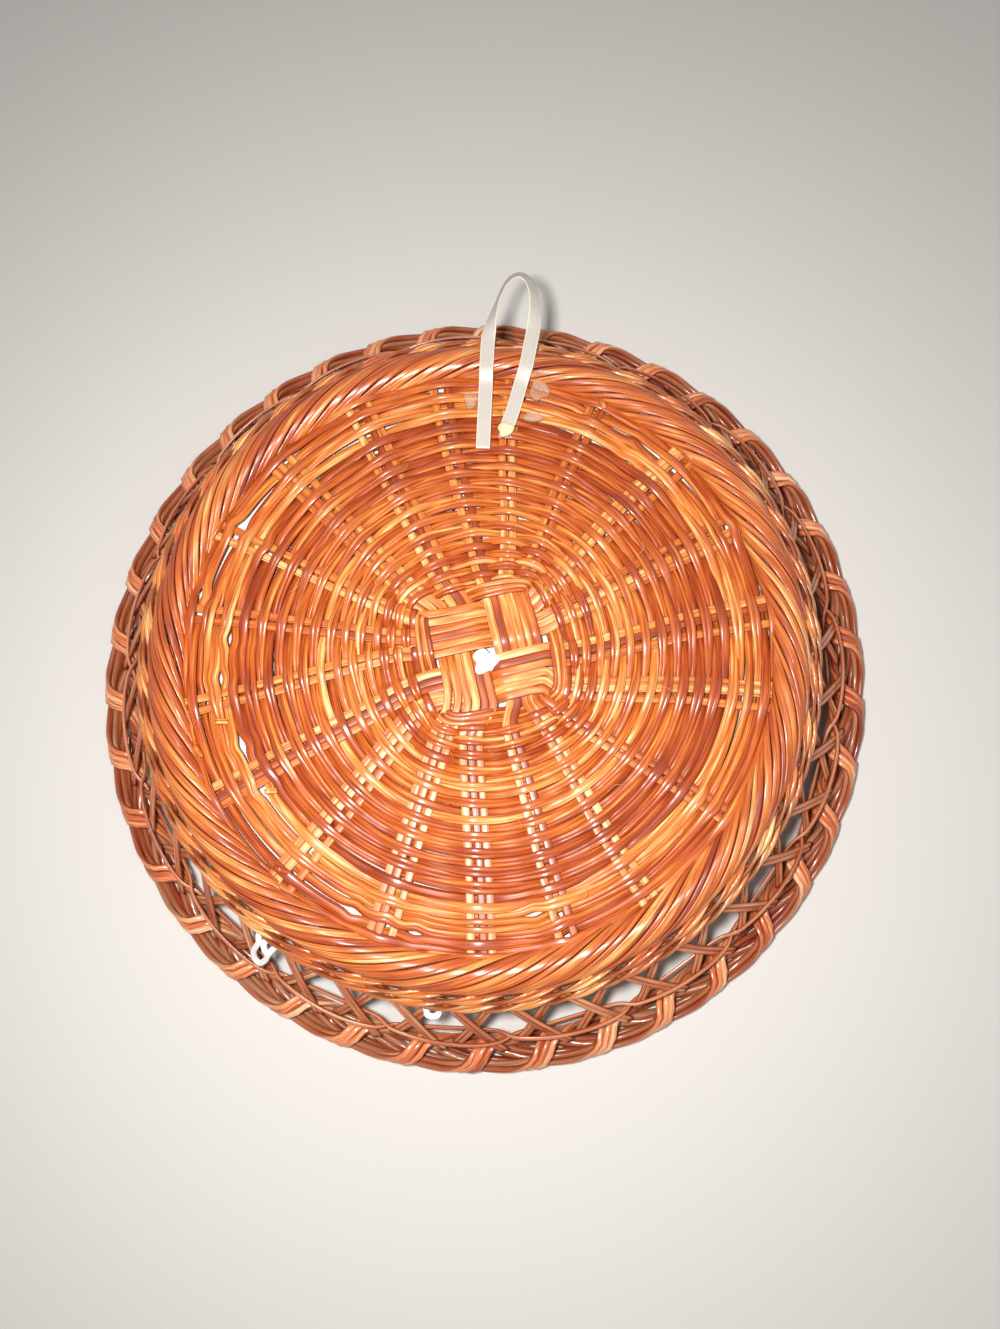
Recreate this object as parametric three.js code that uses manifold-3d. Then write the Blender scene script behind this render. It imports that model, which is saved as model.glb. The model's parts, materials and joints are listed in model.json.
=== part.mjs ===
// Round wicker wall basket, lying face down on its rim with the woven back up.
// Millimetres, +Z up. The origin is on the surface that the rim rests on, under the basket's
// middle, and +Y points to the hanging loop.

import * as THREE from "three";
import { mergeVertices } from "three/addons/utils/BufferGeometryUtils.js";
import Module from "manifold-3d";

const wasm = await Module();
wasm.setup();

// Driving dimensions of the whole basket
const rimRadius = 142.5; // outside of the rim border
const basketHeight = 48.4; // rim's flat to the foot border's flat
const stakeCount = 38; // strands in each border, and stakes that lean each way
const clearance = 0.35; // running gap that neighbouring reeds keep
const cutDepth = 0.5; // depth of the flats on the rim and on the foot

// Rim border, one bundle of reeds that runs three times round as a three-strand rope
const rimSwing = 3.8; // sideways swing of the bundle from the border's middle
const rimLift = 3.4; // rise and fall of the bundle
const rimBundleWidth = 4.9;
const rimBundleHeight = 4.8;
const rimPasses = 3;

// Foot border, the rolled ring that the back rests on
const footRadius = 112.5; // outside of the ring
const footWidth = 13;
const footHeight = 6.8;
const footStrandsPerWrap = 6;
const footRows = 8; // sides of the ring's section, which is widest between two corners

// Waling, two roped rows round the shoulder
const upperWaleWidth = 4.0;
const upperWaleHeight = 4.4;
const lowerWaleWidth = 3.4;
const lowerWaleHeight = 4.2;
const waleStrandsPerWrap = 2;
const waleTuck = 1.0; // how far the upper row reaches in under the foot border
const waleRise = 1.9; // how far its top rises past the foot border's underside
const waleStep = 3.1; // how much wider the lower row is
const waleNest = 0.1; // how far the rows sink into each other's grooves

// Openwork side, stakes that lean both ways and cross
const stakeWidth = 3.5;
const stakeThickness = 1.4;
const stakeLean = 8; // degrees round the basket from shoulder to rim
const stakeSeat = 0.2; // middle of a stake's end below the top of the rim

// Twined pair that holds the stakes just above the rim
const twineHeight = 15.2;
const twineWidth = 2.2;
const twineThickness = 1.2;
const stakesPerTwineArc = 4;

// Woven base, spoke reeds in four bundles and one round weave
const baseDepth = 4.4; // middle of the base below the foot's flat
const spokeCount = 19;
const reedWidth = 2.6;
const reedThickness = 1.4;
const reedGap = 0.3;
const reedsPerBundle = 6;
const eyeSize = 3.3; // small square hole between the four bundles
const centreTurn = 13; // degrees that the centre square is turned
const spokeTurn = 4.4; // degrees from +X to the first spoke
const weaverWidth = 2.6;
const weaverThickness = 1.2;
const weaverPitch = 4.4; // from one round to the next
const armRounds = 3; // first rounds, which pass over whole arms
const weaverPieces = 3; // lengths of weaver, joined under a spoke

// Lace doily that lines the front of the base
const doilyRadius = 125; // flat radius
const doilyThickness = 0.8;
const doilyScallops = 24;
const scallopDepth = 2;

// Ribbon hanging loop and the glue that holds it
const ribbonWidth = 5;
const ribbonThickness = 0.5;
const loopRise = 1.9; // middle of the bight above the foot's flat
const loopReach = 24.4; // how far the bight stands out past the foot border
const loopSpread = 17.6; // width of the bight
const leftLegX = 3.1; // place of the left leg where it leaves the weave
const gluedGap = 3.2; // end of the glued part inside the foot border
const leftTailLength = 24.5;
const rightTailLength = 18.9;
const glueHeight = 1.3;
const glueSink = 0.25; // how far the dabs beside the tails sink between the rounds
const dabOnTailRadius = 2.3;
const rightDabRadius = 3.1;
const leftDabRadius = 2.4;

// Colours
const goldenReed = 0xd9822f;
const orangeReed = 0xc4601f;
const redReed = 0x9c3f1c;
const rimReed = 0xa85028;
const laceWhite = 0xf3efe8;
const ribbonWhite = 0xf1e6d8;
const glueAmber = 0xe2c07a;

const degree = Math.PI / 180;
const up = new THREE.Vector3(0, 0, 1);

function polar(radius, angle, z) {
  return new THREE.Vector3(radius * Math.cos(angle), radius * Math.sin(angle), z);
}

function mix(a, b, t) {
  return a + (b - a) * t;
}

// Frames along a path. Each frame has two axes across the path and a mitre, which stretches the
// section in the plane of the bend so that a reed keeps its width round a corner.
function framesAlong(points, upAt, closed = false) {
  const count = points.length;
  return points.map((point, i) => {
    const before = points[closed ? (i + count - 1) % count : Math.max(i - 1, 0)];
    const after = points[closed ? (i + 1) % count : Math.min(i + 1, count - 1)];
    const arriving = point.clone().sub(before).normalize();
    const leaving = after.clone().sub(point).normalize();
    const first = arriving.lengthSq() > 0 ? arriving : leaving;
    const second = leaving.lengthSq() > 0 ? leaving : arriving;
    const tangent = first.clone().add(second).normalize();
    const side = upAt(point, i).clone().cross(tangent).normalize();
    const rise = tangent.clone().cross(side);
    const bend = second.clone().sub(first);
    const stretch = 1 / Math.sqrt((1 + first.dot(second)) / 2) - 1;
    if (bend.lengthSq() > 0) {
      bend.normalize();
    }
    return { point, side, rise, bend, stretch };
  });
}

// A closed solid swept along frames, from a section given counter-clockwise as [side, rise]
function sweep(frames, section, closed = false, flatten = null) {
  const positions = [];
  const indices = [];
  const corners = section.length;
  for (const frame of frames) {
    for (const [across, high] of section) {
      const offset = frame.side.clone().multiplyScalar(across).addScaledVector(frame.rise, high);
      offset.addScaledVector(frame.bend, frame.stretch * offset.dot(frame.bend));
      offset.add(frame.point);
      if (flatten) {
        flatten(offset);
      }
      positions.push(offset.x, offset.y, offset.z);
    }
  }
  const spans = closed ? frames.length : frames.length - 1;
  for (let k = 0; k < spans; k += 1) {
    const here = k * corners;
    const next = ((k + 1) % frames.length) * corners;
    for (let i = 0; i < corners; i += 1) {
      const j = (i + 1) % corners;
      indices.push(here + i, here + j, next + j);
      indices.push(here + i, next + j, next + i);
    }
  }
  if (!closed) {
    const last = (frames.length - 1) * corners;
    for (let i = 1; i < corners - 1; i += 1) {
      indices.push(0, i + 1, i);
      indices.push(last, last + i, last + i + 1);
    }
  }
  return geometryFrom(positions, indices);
}

function geometryFrom(positions, indices) {
  const geometry = new THREE.BufferGeometry();
  geometry.setAttribute("position", new THREE.Float32BufferAttribute(positions, 3));
  geometry.setIndex(indices);
  return geometry;
}

function flatSection(width, thickness) {
  const w = width / 2;
  const t = thickness / 2;
  return [[-w, -t], [w, -t], [w, t], [-w, t]];
}

// A six-sided section with a flat below and above, for a bundle that rests on its underside
function bundleSection(width, height) {
  const corners = [];
  for (let i = 0; i < 6; i += 1) {
    const angle = i * 60 * degree;
    corners.push([Math.cos(angle) * width / 2, Math.sin(angle) * height / 2]);
  }
  return corners;
}
const bundleFlat = Math.sin(60 * degree); // half height of that section, as a share

// A ring of roped strands. Each strand winds round the ring's core, and the crest and the
// groove of each strand follow its lay.
function ropeRing({ radius, z, width, height, strandsPerWrap, rows, crests, groove, flatten }) {
  const strandColumns = crests + 1;
  const columns = stakeCount * strandColumns;
  const step = 2 * Math.PI / columns;
  const wrapShift = strandsPerWrap * strandColumns;
  const positions = [];
  const indices = [];
  for (let i = 0; i < columns; i += 1) {
    const share = i % strandColumns === 0 ? 1 - groove : 1;
    for (let j = 0; j < rows; j += 1) {
      const around = 2 * Math.PI * (j + 0.5) / rows;
      const angle = step * (i + wrapShift * j / rows);
      const reach = radius + Math.cos(around) * share * width / 2;
      const point = polar(reach, angle, z + Math.sin(around) * share * height / 2);
      if (flatten) {
        flatten(point);
      }
      positions.push(point.x, point.y, point.z);
    }
  }
  const vertex = (i, j) => {
    const wraps = Math.floor(j / rows);
    return ((i + wraps * wrapShift) % columns) * rows + (j % rows);
  };
  for (let i = 0; i < columns; i += 1) {
    for (let j = 0; j < rows; j += 1) {
      indices.push(vertex(i, j), vertex(i + 1, j), vertex(i, j + 1));
      indices.push(vertex(i + 1, j), vertex(i + 1, j + 1), vertex(i, j + 1));
    }
  }
  return geometryFrom(positions, indices);
}

function toSolid(geometry) {
  const merged = mergeVertices(geometry, 1e-4);
  const vertProperties = new Float32Array(merged.getAttribute("position").array);
  const triVerts = new Uint32Array(merged.getIndex().array);
  return new wasm.Manifold(new wasm.Mesh({ numProp: 3, vertProperties, triVerts }));
}

function fromSolid(solid) {
  const mesh = solid.getMesh();
  return geometryFrom(Array.from(mesh.vertProperties), Array.from(mesh.triVerts));
}

const basket = new THREE.Group();

function addPiece(name, geometry, color, roughness = 0.35) {
  const material = new THREE.MeshStandardMaterial({ color, roughness, metalness: 0 });
  geometry.computeVertexNormals();
  const mesh = new THREE.Mesh(geometry, material);
  mesh.name = name;
  basket.add(mesh);
}

// Heights and radii that follow from the sizes above
const rimReach = rimLift * Math.cos(30 * degree) + bundleFlat * rimBundleHeight / 2;
const rimHeight = rimReach - cutDepth;
const rimTop = rimHeight + rimReach;
const rimMiddle = rimRadius - rimSwing - rimBundleWidth / 2;
const footMiddle = footRadius - footWidth / 2;
const footReach = footWidth / 2 * Math.cos(180 * degree / footRows);
const footInside = footMiddle - footReach;
const footZ = basketHeight + cutDepth - footHeight / 2;
const baseZ = basketHeight - baseDepth;

// Rim border
function rimBorder() {
  const periods = stakeCount;
  const stepsPerPeriod = 6;
  const steps = periods * stepsPerPeriod;
  const points = [];
  for (let i = 0; i < steps; i += 1) {
    const phase = 2 * Math.PI * (i + 0.5) / stepsPerPeriod;
    const angle = 2 * Math.PI * rimPasses * i / steps;
    const swing = Math.sin(phase);
    // The bundle keeps to the edges and crosses quickly, so the sine is squared off
    const edgeHold = swing * Math.sqrt(1.5 / (0.5 + swing * swing));
    const radius = rimMiddle + rimSwing * edgeHold;
    points.push(polar(radius, angle, rimHeight - rimLift * Math.cos(phase)));
  }
  const frames = framesAlong(points, () => up, true);
  const rest = (point) => {
    point.z = Math.max(point.z, 0);
  };
  return sweep(frames, bundleSection(rimBundleWidth, rimBundleHeight), true, rest);
}

// Foot border
function footBorder() {
  return ropeRing({
    radius: footMiddle,
    z: footZ,
    width: footWidth,
    height: footHeight,
    strandsPerWrap: footStrandsPerWrap,
    rows: footRows,
    crests: 2,
    groove: 0.2,
    flatten: (point) => {
      point.z = Math.min(point.z, basketHeight);
    },
  });
}

// Waling rows, tucked in turn under the foot border's outer edge
const upperWaleRadius = footMiddle + footReach + upperWaleWidth / 2 - waleTuck;
const upperWaleZ = footZ - footHeight / 2 - upperWaleHeight / 2 + waleRise;
const lowerWaleRadius = upperWaleRadius + waleStep;
const lowerWaleZ = upperWaleZ - (upperWaleHeight + lowerWaleHeight) / 2 + waleNest;

function waleRing(radius, z, width, height) {
  return ropeRing({
    radius,
    z,
    width,
    height,
    strandsPerWrap: waleStrandsPerWrap,
    rows: 5,
    crests: 1,
    groove: 0.14,
    flatten: null,
  });
}

// Openwork side. The outer stakes start in the lower row and end on top of the rim border. The
// inner stakes start in the upper row, pass inside the lower one and stop beside them.
const outerTop = { radius: lowerWaleRadius + 0.1, z: lowerWaleZ - lowerWaleHeight / 4 };
const outerEnd = { radius: rimMiddle - rimSwing * 0.6, z: rimTop - stakeSeat };
const sideSlope = (outerEnd.radius - outerTop.radius) / (outerTop.z - outerEnd.z);
const layerStep = (stakeThickness + clearance) * Math.hypot(1, sideSlope);
const sideNormalOut = 1 / Math.hypot(1, sideSlope);
const sideNormalUp = sideSlope / Math.hypot(1, sideSlope);
const innerStart = { radius: upperWaleRadius - 0.3, z: upperWaleZ - upperWaleHeight / 4 };
const innerBend = {
  radius: lowerWaleRadius - lowerWaleWidth / 2 - clearance - layerStep / 2,
  z: lowerWaleZ,
};
const innerEnd = {
  radius: outerEnd.radius - layerStep - sideSlope * stakeThickness,
  z: outerEnd.z + stakeThickness,
};

function sideNormal(angle) {
  return polar(sideNormalOut, angle, sideNormalUp);
}

function outerRadiusAt(z) {
  return outerTop.radius + sideSlope * (outerTop.z - z);
}

function stakePoint(place, stake, share, direction) {
  const pitch = 360 / stakeCount;
  const angle = (stake * pitch + direction * stakeLean * share) * degree;
  return polar(place.radius, angle, place.z);
}

function leaningStakes(ring, route, direction) {
  let solid = toSolid(ring);
  for (let stake = 0; stake < stakeCount; stake += 1) {
    const points = route.map((place) => {
      return stakePoint(place, stake, shareAt(route, place.z), direction);
    });
    const frames = framesAlong(points, (point) => sideNormal(Math.atan2(point.y, point.x)));
    solid = solid.add(toSolid(sweep(frames, flatSection(stakeWidth, stakeThickness))));
  }
  return fromSolid(solid);
}

function shareAt(route, z) {
  const top = route[0].z;
  return (top - z) / (top - route[route.length - 1].z);
}

// Middle of the wider gap between neighbouring stakes at a height, in degrees
function openGapAt(z) {
  const pitch = 360 / stakeCount;
  const right = stakeLean * shareAt([outerTop, outerEnd], z) % pitch;
  const left = pitch - stakeLean * shareAt([innerStart, innerEnd], z) % pitch;
  const low = Math.min(left, right);
  const high = Math.max(left, right);
  return high - low > pitch / 2 ? (low + high) / 2 : (high + low + pitch) / 2;
}

// Twined pair, one reed that goes twice round. It passes outside the stakes on one arc and
// inside them on the next, and swaps places with itself between the arcs.
function twinedPair() {
  const arcs = stakeCount * 2 / stakesPerTwineArc;
  const halfWaves = arcs * 2;
  const stakeLayers = stakeThickness * 2 + clearance;
  const out = stakeLayers / 2 + clearance + twineThickness / 2 + 0.35;
  const swap = (twineWidth + clearance) / 2;
  const middle = outerRadiusAt(twineHeight) - layerStep / 2;
  const firstCross = openGapAt(twineHeight);
  const points = [];
  for (let k = 0; k < halfWaves; k += 1) {
    for (const phase of [-78, 0, 78]) {
      const angle = (firstCross + (k + 0.5 + phase / 180) * 360 / arcs) * degree;
      const away = k % 2 === 0 ? out : -out;
      const along = swap * Math.sin(phase * degree) * (k % 2 === 0 ? 1 : -1);
      const radius = middle + away * sideNormalOut - along * sideNormalUp;
      const z = twineHeight + away * sideNormalUp + along * sideNormalOut;
      points.push(polar(radius, angle, z));
    }
  }
  const frames = framesAlong(points, (point) => sideNormal(Math.atan2(point.y, point.x)), true);
  return sweep(frames, flatSection(twineWidth, twineThickness), true);
}

// Spoke reeds. Four bundles interlace in a square at the centre, and the two arms of each one
// fan out into the spokes that lie in its eighth of the circle.
const laneStep = reedWidth + reedGap;
const bundleWidth = reedsPerBundle * laneStep - reedGap;
const bundleOffset = (bundleWidth + eyeSize) / 2;
const blockEdge = bundleOffset + bundleWidth / 2;
const crossLift = (reedThickness + clearance) / 2;
const reedEnd = footInside - clearance;
const cornerBulge = 2 ** (1 / 2 - 1 / 8); // corner of the first round against its side
const firstRound = (blockEdge * Math.SQRT2 + clearance + weaverWidth / 2) / cornerBulge;
const fanRadius = firstRound + (armRounds - 0.6) * weaverPitch;

const bundles = [
  { name: "upper", along: [1, 0], across: [0, 1], offset: bundleOffset },
  { name: "lower", along: [1, 0], across: [0, 1], offset: -bundleOffset },
  { name: "right", along: [0, 1], across: [1, 0], offset: bundleOffset },
  { name: "left", along: [0, 1], across: [1, 0], offset: -bundleOffset },
];

function eighthOf(angle) {
  return Math.floor((((angle / degree) % 360) + 360) % 360 / 45);
}

// One arm of a bundle, with the groups of reeds that it fans into
function armOf(bundle, end) {
  const along = new THREE.Vector2(...bundle.along).multiplyScalar(end);
  const across = new THREE.Vector2(...bundle.across);
  const aim = along.clone().multiplyScalar(blockEdge).addScaledVector(across, bundle.offset);
  const eighth = eighthOf(Math.atan2(aim.y, aim.x));
  const spokes = [];
  for (let k = 0; k < spokeCount; k += 1) {
    const angle = (spokeTurn - centreTurn + 0.001 + k * 360 / spokeCount) * degree;
    if (eighthOf(angle) === eighth) {
      spokes.push(new THREE.Vector2(Math.cos(angle), Math.sin(angle)));
    }
  }
  spokes.sort((a, b) => a.dot(across) - b.dot(across));
  const groups = spokes.map((spoke, s) => {
    const lanes = [];
    for (let lane = 0; lane < reedsPerBundle; lane += 1) {
      if (Math.floor(lane * spokes.length / reedsPerBundle) === s) {
        lanes.push(lane);
      }
    }
    const middleLane = lanes.reduce((sum, lane) => sum + lane, 0) / lanes.length;
    const lateral = bundle.offset + (middleLane - (reedsPerBundle - 1) / 2) * laneStep;
    const target = spoke.clone().multiplyScalar(reedEnd);
    const turn = Math.atan2(target.dot(across) - lateral, target.dot(along) - blockEdge);
    const halfWidth = (lanes.length * laneStep - reedGap) / 2;
    return { lanes, middleLane, lateral, turn, halfWidth, start: blockEdge };
  });
  setBends(groups.filter((group) => group.turn > 0).reverse());
  setBends(groups.filter((group) => group.turn <= 0));
  return { along, across, groups, eighth, onTop: eighth % 2 === 1 };
}

// The outermost reeds bend first, and each group of an arm bends where the last one cleared it
function setBends(groups) {
  let next = blockEdge + clearance;
  for (const group of groups) {
    const slant = Math.tan(Math.abs(group.turn) / 2);
    const reach = (group.lanes.length - 1) / 2 * laneStep * slant;
    group.start = next + reach;
    next += 2 * reach + laneStep * slant;
  }
}

// Plan points of one reed's arm, from the block's edge outwards
function armPoints(arm, lane) {
  const group = arm.groups.find((entry) => entry.lanes.includes(lane));
  const aside = (lane - group.middleLane) * laneStep;
  const straight = arm.along.clone().multiplyScalar(Math.cos(group.turn));
  straight.addScaledVector(arm.across, Math.sin(group.turn));
  const square = arm.across.clone().multiplyScalar(Math.cos(group.turn));
  square.addScaledVector(arm.along, -Math.sin(group.turn));
  const place = (forward, sideways) => {
    return arm.along.clone().multiplyScalar(forward).addScaledVector(arm.across, sideways);
  };
  const bendForward = group.start - aside * Math.tan(group.turn / 2);
  const bend = place(bendForward, group.lateral + aside);
  const middle = place(group.start, group.lateral).addScaledVector(square, aside);
  const atRadius = (radius) => {
    const forward = middle.dot(straight);
    const reach = Math.sqrt(radius * radius - middle.lengthSq() + forward * forward) - forward;
    return middle.clone().addScaledVector(straight, reach);
  };
  return { bend, fan: atRadius(fanRadius), end: atRadius(reedEnd) };
}

function lift2d(point, z) {
  return new THREE.Vector3(point.x, point.y, z);
}

function spokeReed(bundle, lane) {
  const minus = armOf(bundle, -1);
  const plus = armOf(bundle, 1);
  const sideways = bundle.offset + (lane - (reedsPerBundle - 1) / 2) * laneStep;
  const edgePoint = (arm, forward, z) => {
    const point = arm.along.clone().multiplyScalar(forward);
    return lift2d(point.addScaledVector(arm.across, sideways), z);
  };
  const half = (arm) => {
    const z = arm.onTop ? crossLift : -crossLift;
    const plan = armPoints(arm, lane);
    return [
      edgePoint(arm, eyeSize / 2, z),
      lift2d(plan.bend, z),
      lift2d(plan.fan, 0),
      lift2d(plan.end, 0),
    ];
  };
  const points = [...half(minus).reverse(), ...half(plus)];
  const frames = framesAlong(points, () => up);
  const geometry = sweep(frames, flatSection(reedWidth, reedThickness));
  geometry.rotateZ(centreTurn * degree);
  geometry.translate(0, 0, baseZ);
  return geometry;
}

// Where a round of the weave crosses a group of reeds, as angles in the turned frame
function crossingOf(arm, group, radiusAt) {
  const middleLane = group.lanes[Math.floor(group.lanes.length / 2)];
  const plan = armPoints(arm, middleLane);
  const aside = (middleLane - group.middleLane) * laneStep;
  const straight = plan.end.clone().sub(plan.bend).normalize();
  const square = new THREE.Vector2(-straight.y, straight.x);
  const turned = square.dot(arm.across) > 0 ? 1 : -1;
  const line = plan.bend.clone().addScaledVector(square, -aside * turned);
  let angle = Math.atan2(line.y, line.x);
  let radius = radiusAt(angle);
  for (let pass = 0; pass < 4; pass += 1) {
    const forward = line.dot(straight);
    const inside = Math.max(radius * radius - line.lengthSq() + forward * forward, 0);
    const point = line.clone().addScaledVector(straight, Math.sqrt(inside) - forward);
    angle = Math.atan2(point.y, point.x);
    radius = radiusAt(angle);
  }
  const slant = straight.dot(new THREE.Vector2(Math.cos(angle), Math.sin(angle)));
  return { angle, half: group.halfWidth / (radius * slant) };
}

// Radius of the weave after some turns, at an angle in the turned frame. The first rounds
// follow the square centre, and later ones become round.
function weaveRadius(turns, angle) {
  const side = firstRound + weaverPitch * turns;
  const square = (Math.cos(angle) ** 8 + Math.sin(angle) ** 8) ** (-1 / 8);
  return side * (1 + (square - 1) * Math.exp(-turns / 4));
}

// The crossings of the whole weave in order, each with its two ends and its side of the base
function weaveCrossings() {
  const arms = bundles.flatMap((bundle) => [armOf(bundle, 1), armOf(bundle, -1)]);
  arms.sort((a, b) => a.eighth - b.eighth);
  const lastSide = footInside - clearance - weaverWidth / 2;
  const rounds = Math.floor((lastSide - firstRound) / weaverPitch * spokeCount) / spokeCount;
  const flatRise = (reedThickness + weaverThickness) / 2 + clearance;
  const crossings = [];
  for (let round = 0; round < Math.ceil(rounds); round += 1) {
    const onArms = round < armRounds;
    const found = arms.flatMap((arm) => {
      const radiusAt = (angle) => {
        const share = (((angle / (2 * Math.PI)) % 1) + 1) % 1;
        return weaveRadius(round + share, angle);
      };
      const ends = arm.groups.map((group) => crossingOf(arm, group, radiusAt));
      const wrapped = ends.map(({ angle, half }) => {
        const full = ((angle % (2 * Math.PI)) + 2 * Math.PI) % (2 * Math.PI);
        return { from: full - half, to: full + half };
      });
      if (!onArms) {
        return wrapped;
      }
      const from = Math.min(...wrapped.map((entry) => entry.from));
      const to = Math.max(...wrapped.map((entry) => entry.to));
      return [{ from, to, onTop: arm.onTop }];
    });
    found.sort((a, b) => a.from - b.from);
    for (const entry of found) {
      const turns = round + entry.from / (2 * Math.PI);
      if (turns <= rounds) {
        const rise = onArms ? flatRise + crossLift : flatRise;
        crossings.push({ ...entry, round, rise });
      }
    }
  }
  let over = false;
  for (const crossing of crossings) {
    over = crossing.round < armRounds ? crossing.onTop : !over;
    crossing.side = over ? 1 : -1;
  }
  return crossings;
}

function weaverPoint(crossing, angle) {
  const turns = crossing.round + angle / (2 * Math.PI);
  return polar(weaveRadius(turns, angle), angle, crossing.side * crossing.rise);
}

// Lengths of weaver. Each one starts and ends under a spoke.
function weavers() {
  const crossings = weaveCrossings();
  const reach = reedThickness / 2 + clearance + weaverThickness / 2;
  const spans = crossings.map((crossing, i) => {
    const before = crossings[i - 1];
    const after = crossings[i + 1];
    const turn = 2 * Math.PI;
    const start = crossing.round * turn + crossing.from;
    const stop = crossing.round * turn + crossing.to;
    const gapBefore = before ? start - (before.round * turn + before.to) : turn;
    const gapAfter = after ? after.round * turn + after.from - stop : turn;
    const radius = weaveRadius(crossing.round, crossing.from);
    const ease = (gap) => reach / radius * Math.min(1, crossing.rise / (gap * radius));
    return {
      crossing,
      from: crossing.from - ease(gapBefore),
      to: crossing.to + ease(gapAfter),
    };
  });
  const cuts = [];
  for (let piece = 0; piece <= weaverPieces; piece += 1) {
    let index = Math.round((spans.length - 1) * piece / weaverPieces);
    while (spans[index].crossing.side > 0) {
      index += index === 0 ? 1 : -1;
    }
    cuts.push(index);
  }
  return cuts.slice(1).map((stop, piece) => {
    const start = cuts[piece];
    const points = [];
    for (let i = start; i <= stop; i += 1) {
      const { crossing, from, to } = spans[i];
      const middle = (from + to) / 2;
      const parting = clearance / weaveRadius(crossing.round, middle);
      points.push(weaverPoint(crossing, i === start ? middle + parting : from));
      points.push(weaverPoint(crossing, i === stop ? middle - parting : to));
    }
    const frames = framesAlong(points, () => up);
    const geometry = sweep(frames, flatSection(weaverWidth, weaverThickness));
    geometry.rotateZ(centreTurn * degree);
    geometry.translate(0, 0, baseZ);
    return geometry;
  });
}

// Lace doily, a scalloped round of cloth. It lies flat against the base and turns down inside
// the openwork.
function doily() {
  const under = reedThickness / 2 + weaverThickness + crossLift + clearance * 3;
  const z = baseZ - under - doilyThickness / 2;
  const turnDown = footMiddle + 0.5;
  const shoulderDrop = 2.7;
  const shoulder = { radius: innerBend.radius - 3, z: z - shoulderDrop };
  const shoulderRun = Math.hypot(shoulder.radius - turnDown, shoulderDrop);
  const skirt = doilyRadius - turnDown - shoulderRun;
  const runOut = sideNormalUp;
  const runDown = sideNormalOut;
  const rings = [
    { radius: turnDown, z, edge: 0 },
    { radius: shoulder.radius, z: shoulder.z, edge: 0 },
    { radius: shoulder.radius + skirt * runOut, z: shoulder.z - skirt * runDown, edge: 1 },
  ];
  const segments = doilyScallops * 2;
  const positions = [0, 0, z + doilyThickness / 2, 0, 0, z - doilyThickness / 2];
  const indices = [];
  for (let i = 0; i < segments; i += 1) {
    const angle = 2 * Math.PI * i / segments;
    const dip = i % 2 === 0 ? 0 : scallopDepth;
    for (const ring of rings) {
      const radius = ring.radius - ring.edge * dip * runOut;
      const height = ring.z + ring.edge * dip * runDown;
      for (const face of [0.5, -0.5]) {
        const lean = ring === rings[0] ? 0.3 : sideNormalOut;
        const reach = radius + face * doilyThickness * lean;
        const level = height + face * doilyThickness * Math.sqrt(1 - lean * lean);
        const point = polar(reach, angle, level);
        positions.push(point.x, point.y, point.z);
      }
    }
  }
  const top = (i, k) => 2 + (i % segments) * rings.length * 2 + k * 2;
  for (let i = 0; i < segments; i += 1) {
    indices.push(0, top(i, 0), top(i + 1, 0));
    indices.push(1, top(i + 1, 0) + 1, top(i, 0) + 1);
    for (let k = 0; k < rings.length - 1; k += 1) {
      const corners = [top(i, k), top(i, k + 1), top(i + 1, k + 1), top(i + 1, k)];
      indices.push(corners[0], corners[1], corners[2], corners[0], corners[2], corners[3]);
      const below = corners.map((corner) => corner + 1);
      indices.push(below[0], below[2], below[1], below[0], below[3], below[2]);
    }
    const edge = top(i, rings.length - 1);
    const nextEdge = top(i + 1, rings.length - 1);
    indices.push(edge, edge + 1, nextEdge + 1, edge, nextEdge + 1, nextEdge);
  }
  return geometryFrom(positions, indices);
}

// Ribbon. Both legs are glued flat on the weave, cross the foot border and meet in a bight that
// stands partly on edge.
const weaveTop = baseZ + (reedThickness + weaverThickness) / 2 + clearance + weaverThickness / 2;
const tailZ = weaveTop + clearance + ribbonThickness / 2;
const overFootZ = basketHeight + clearance + ribbonThickness / 2;
const hingeY = footInside - gluedGap;
const bightZ = basketHeight + loopRise;
const borderEdgeY = footInside + footWidth * 0.1; // where a leg has climbed onto the border

// Plan places of the ribbon's middle line, and how far its face tips outwards there. Across is a
// share of the bight's width, from the left leg, and out a share of its reach past the border.
function ribbonX(across) {
  return leftLegX + across * loopSpread;
}

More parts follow.
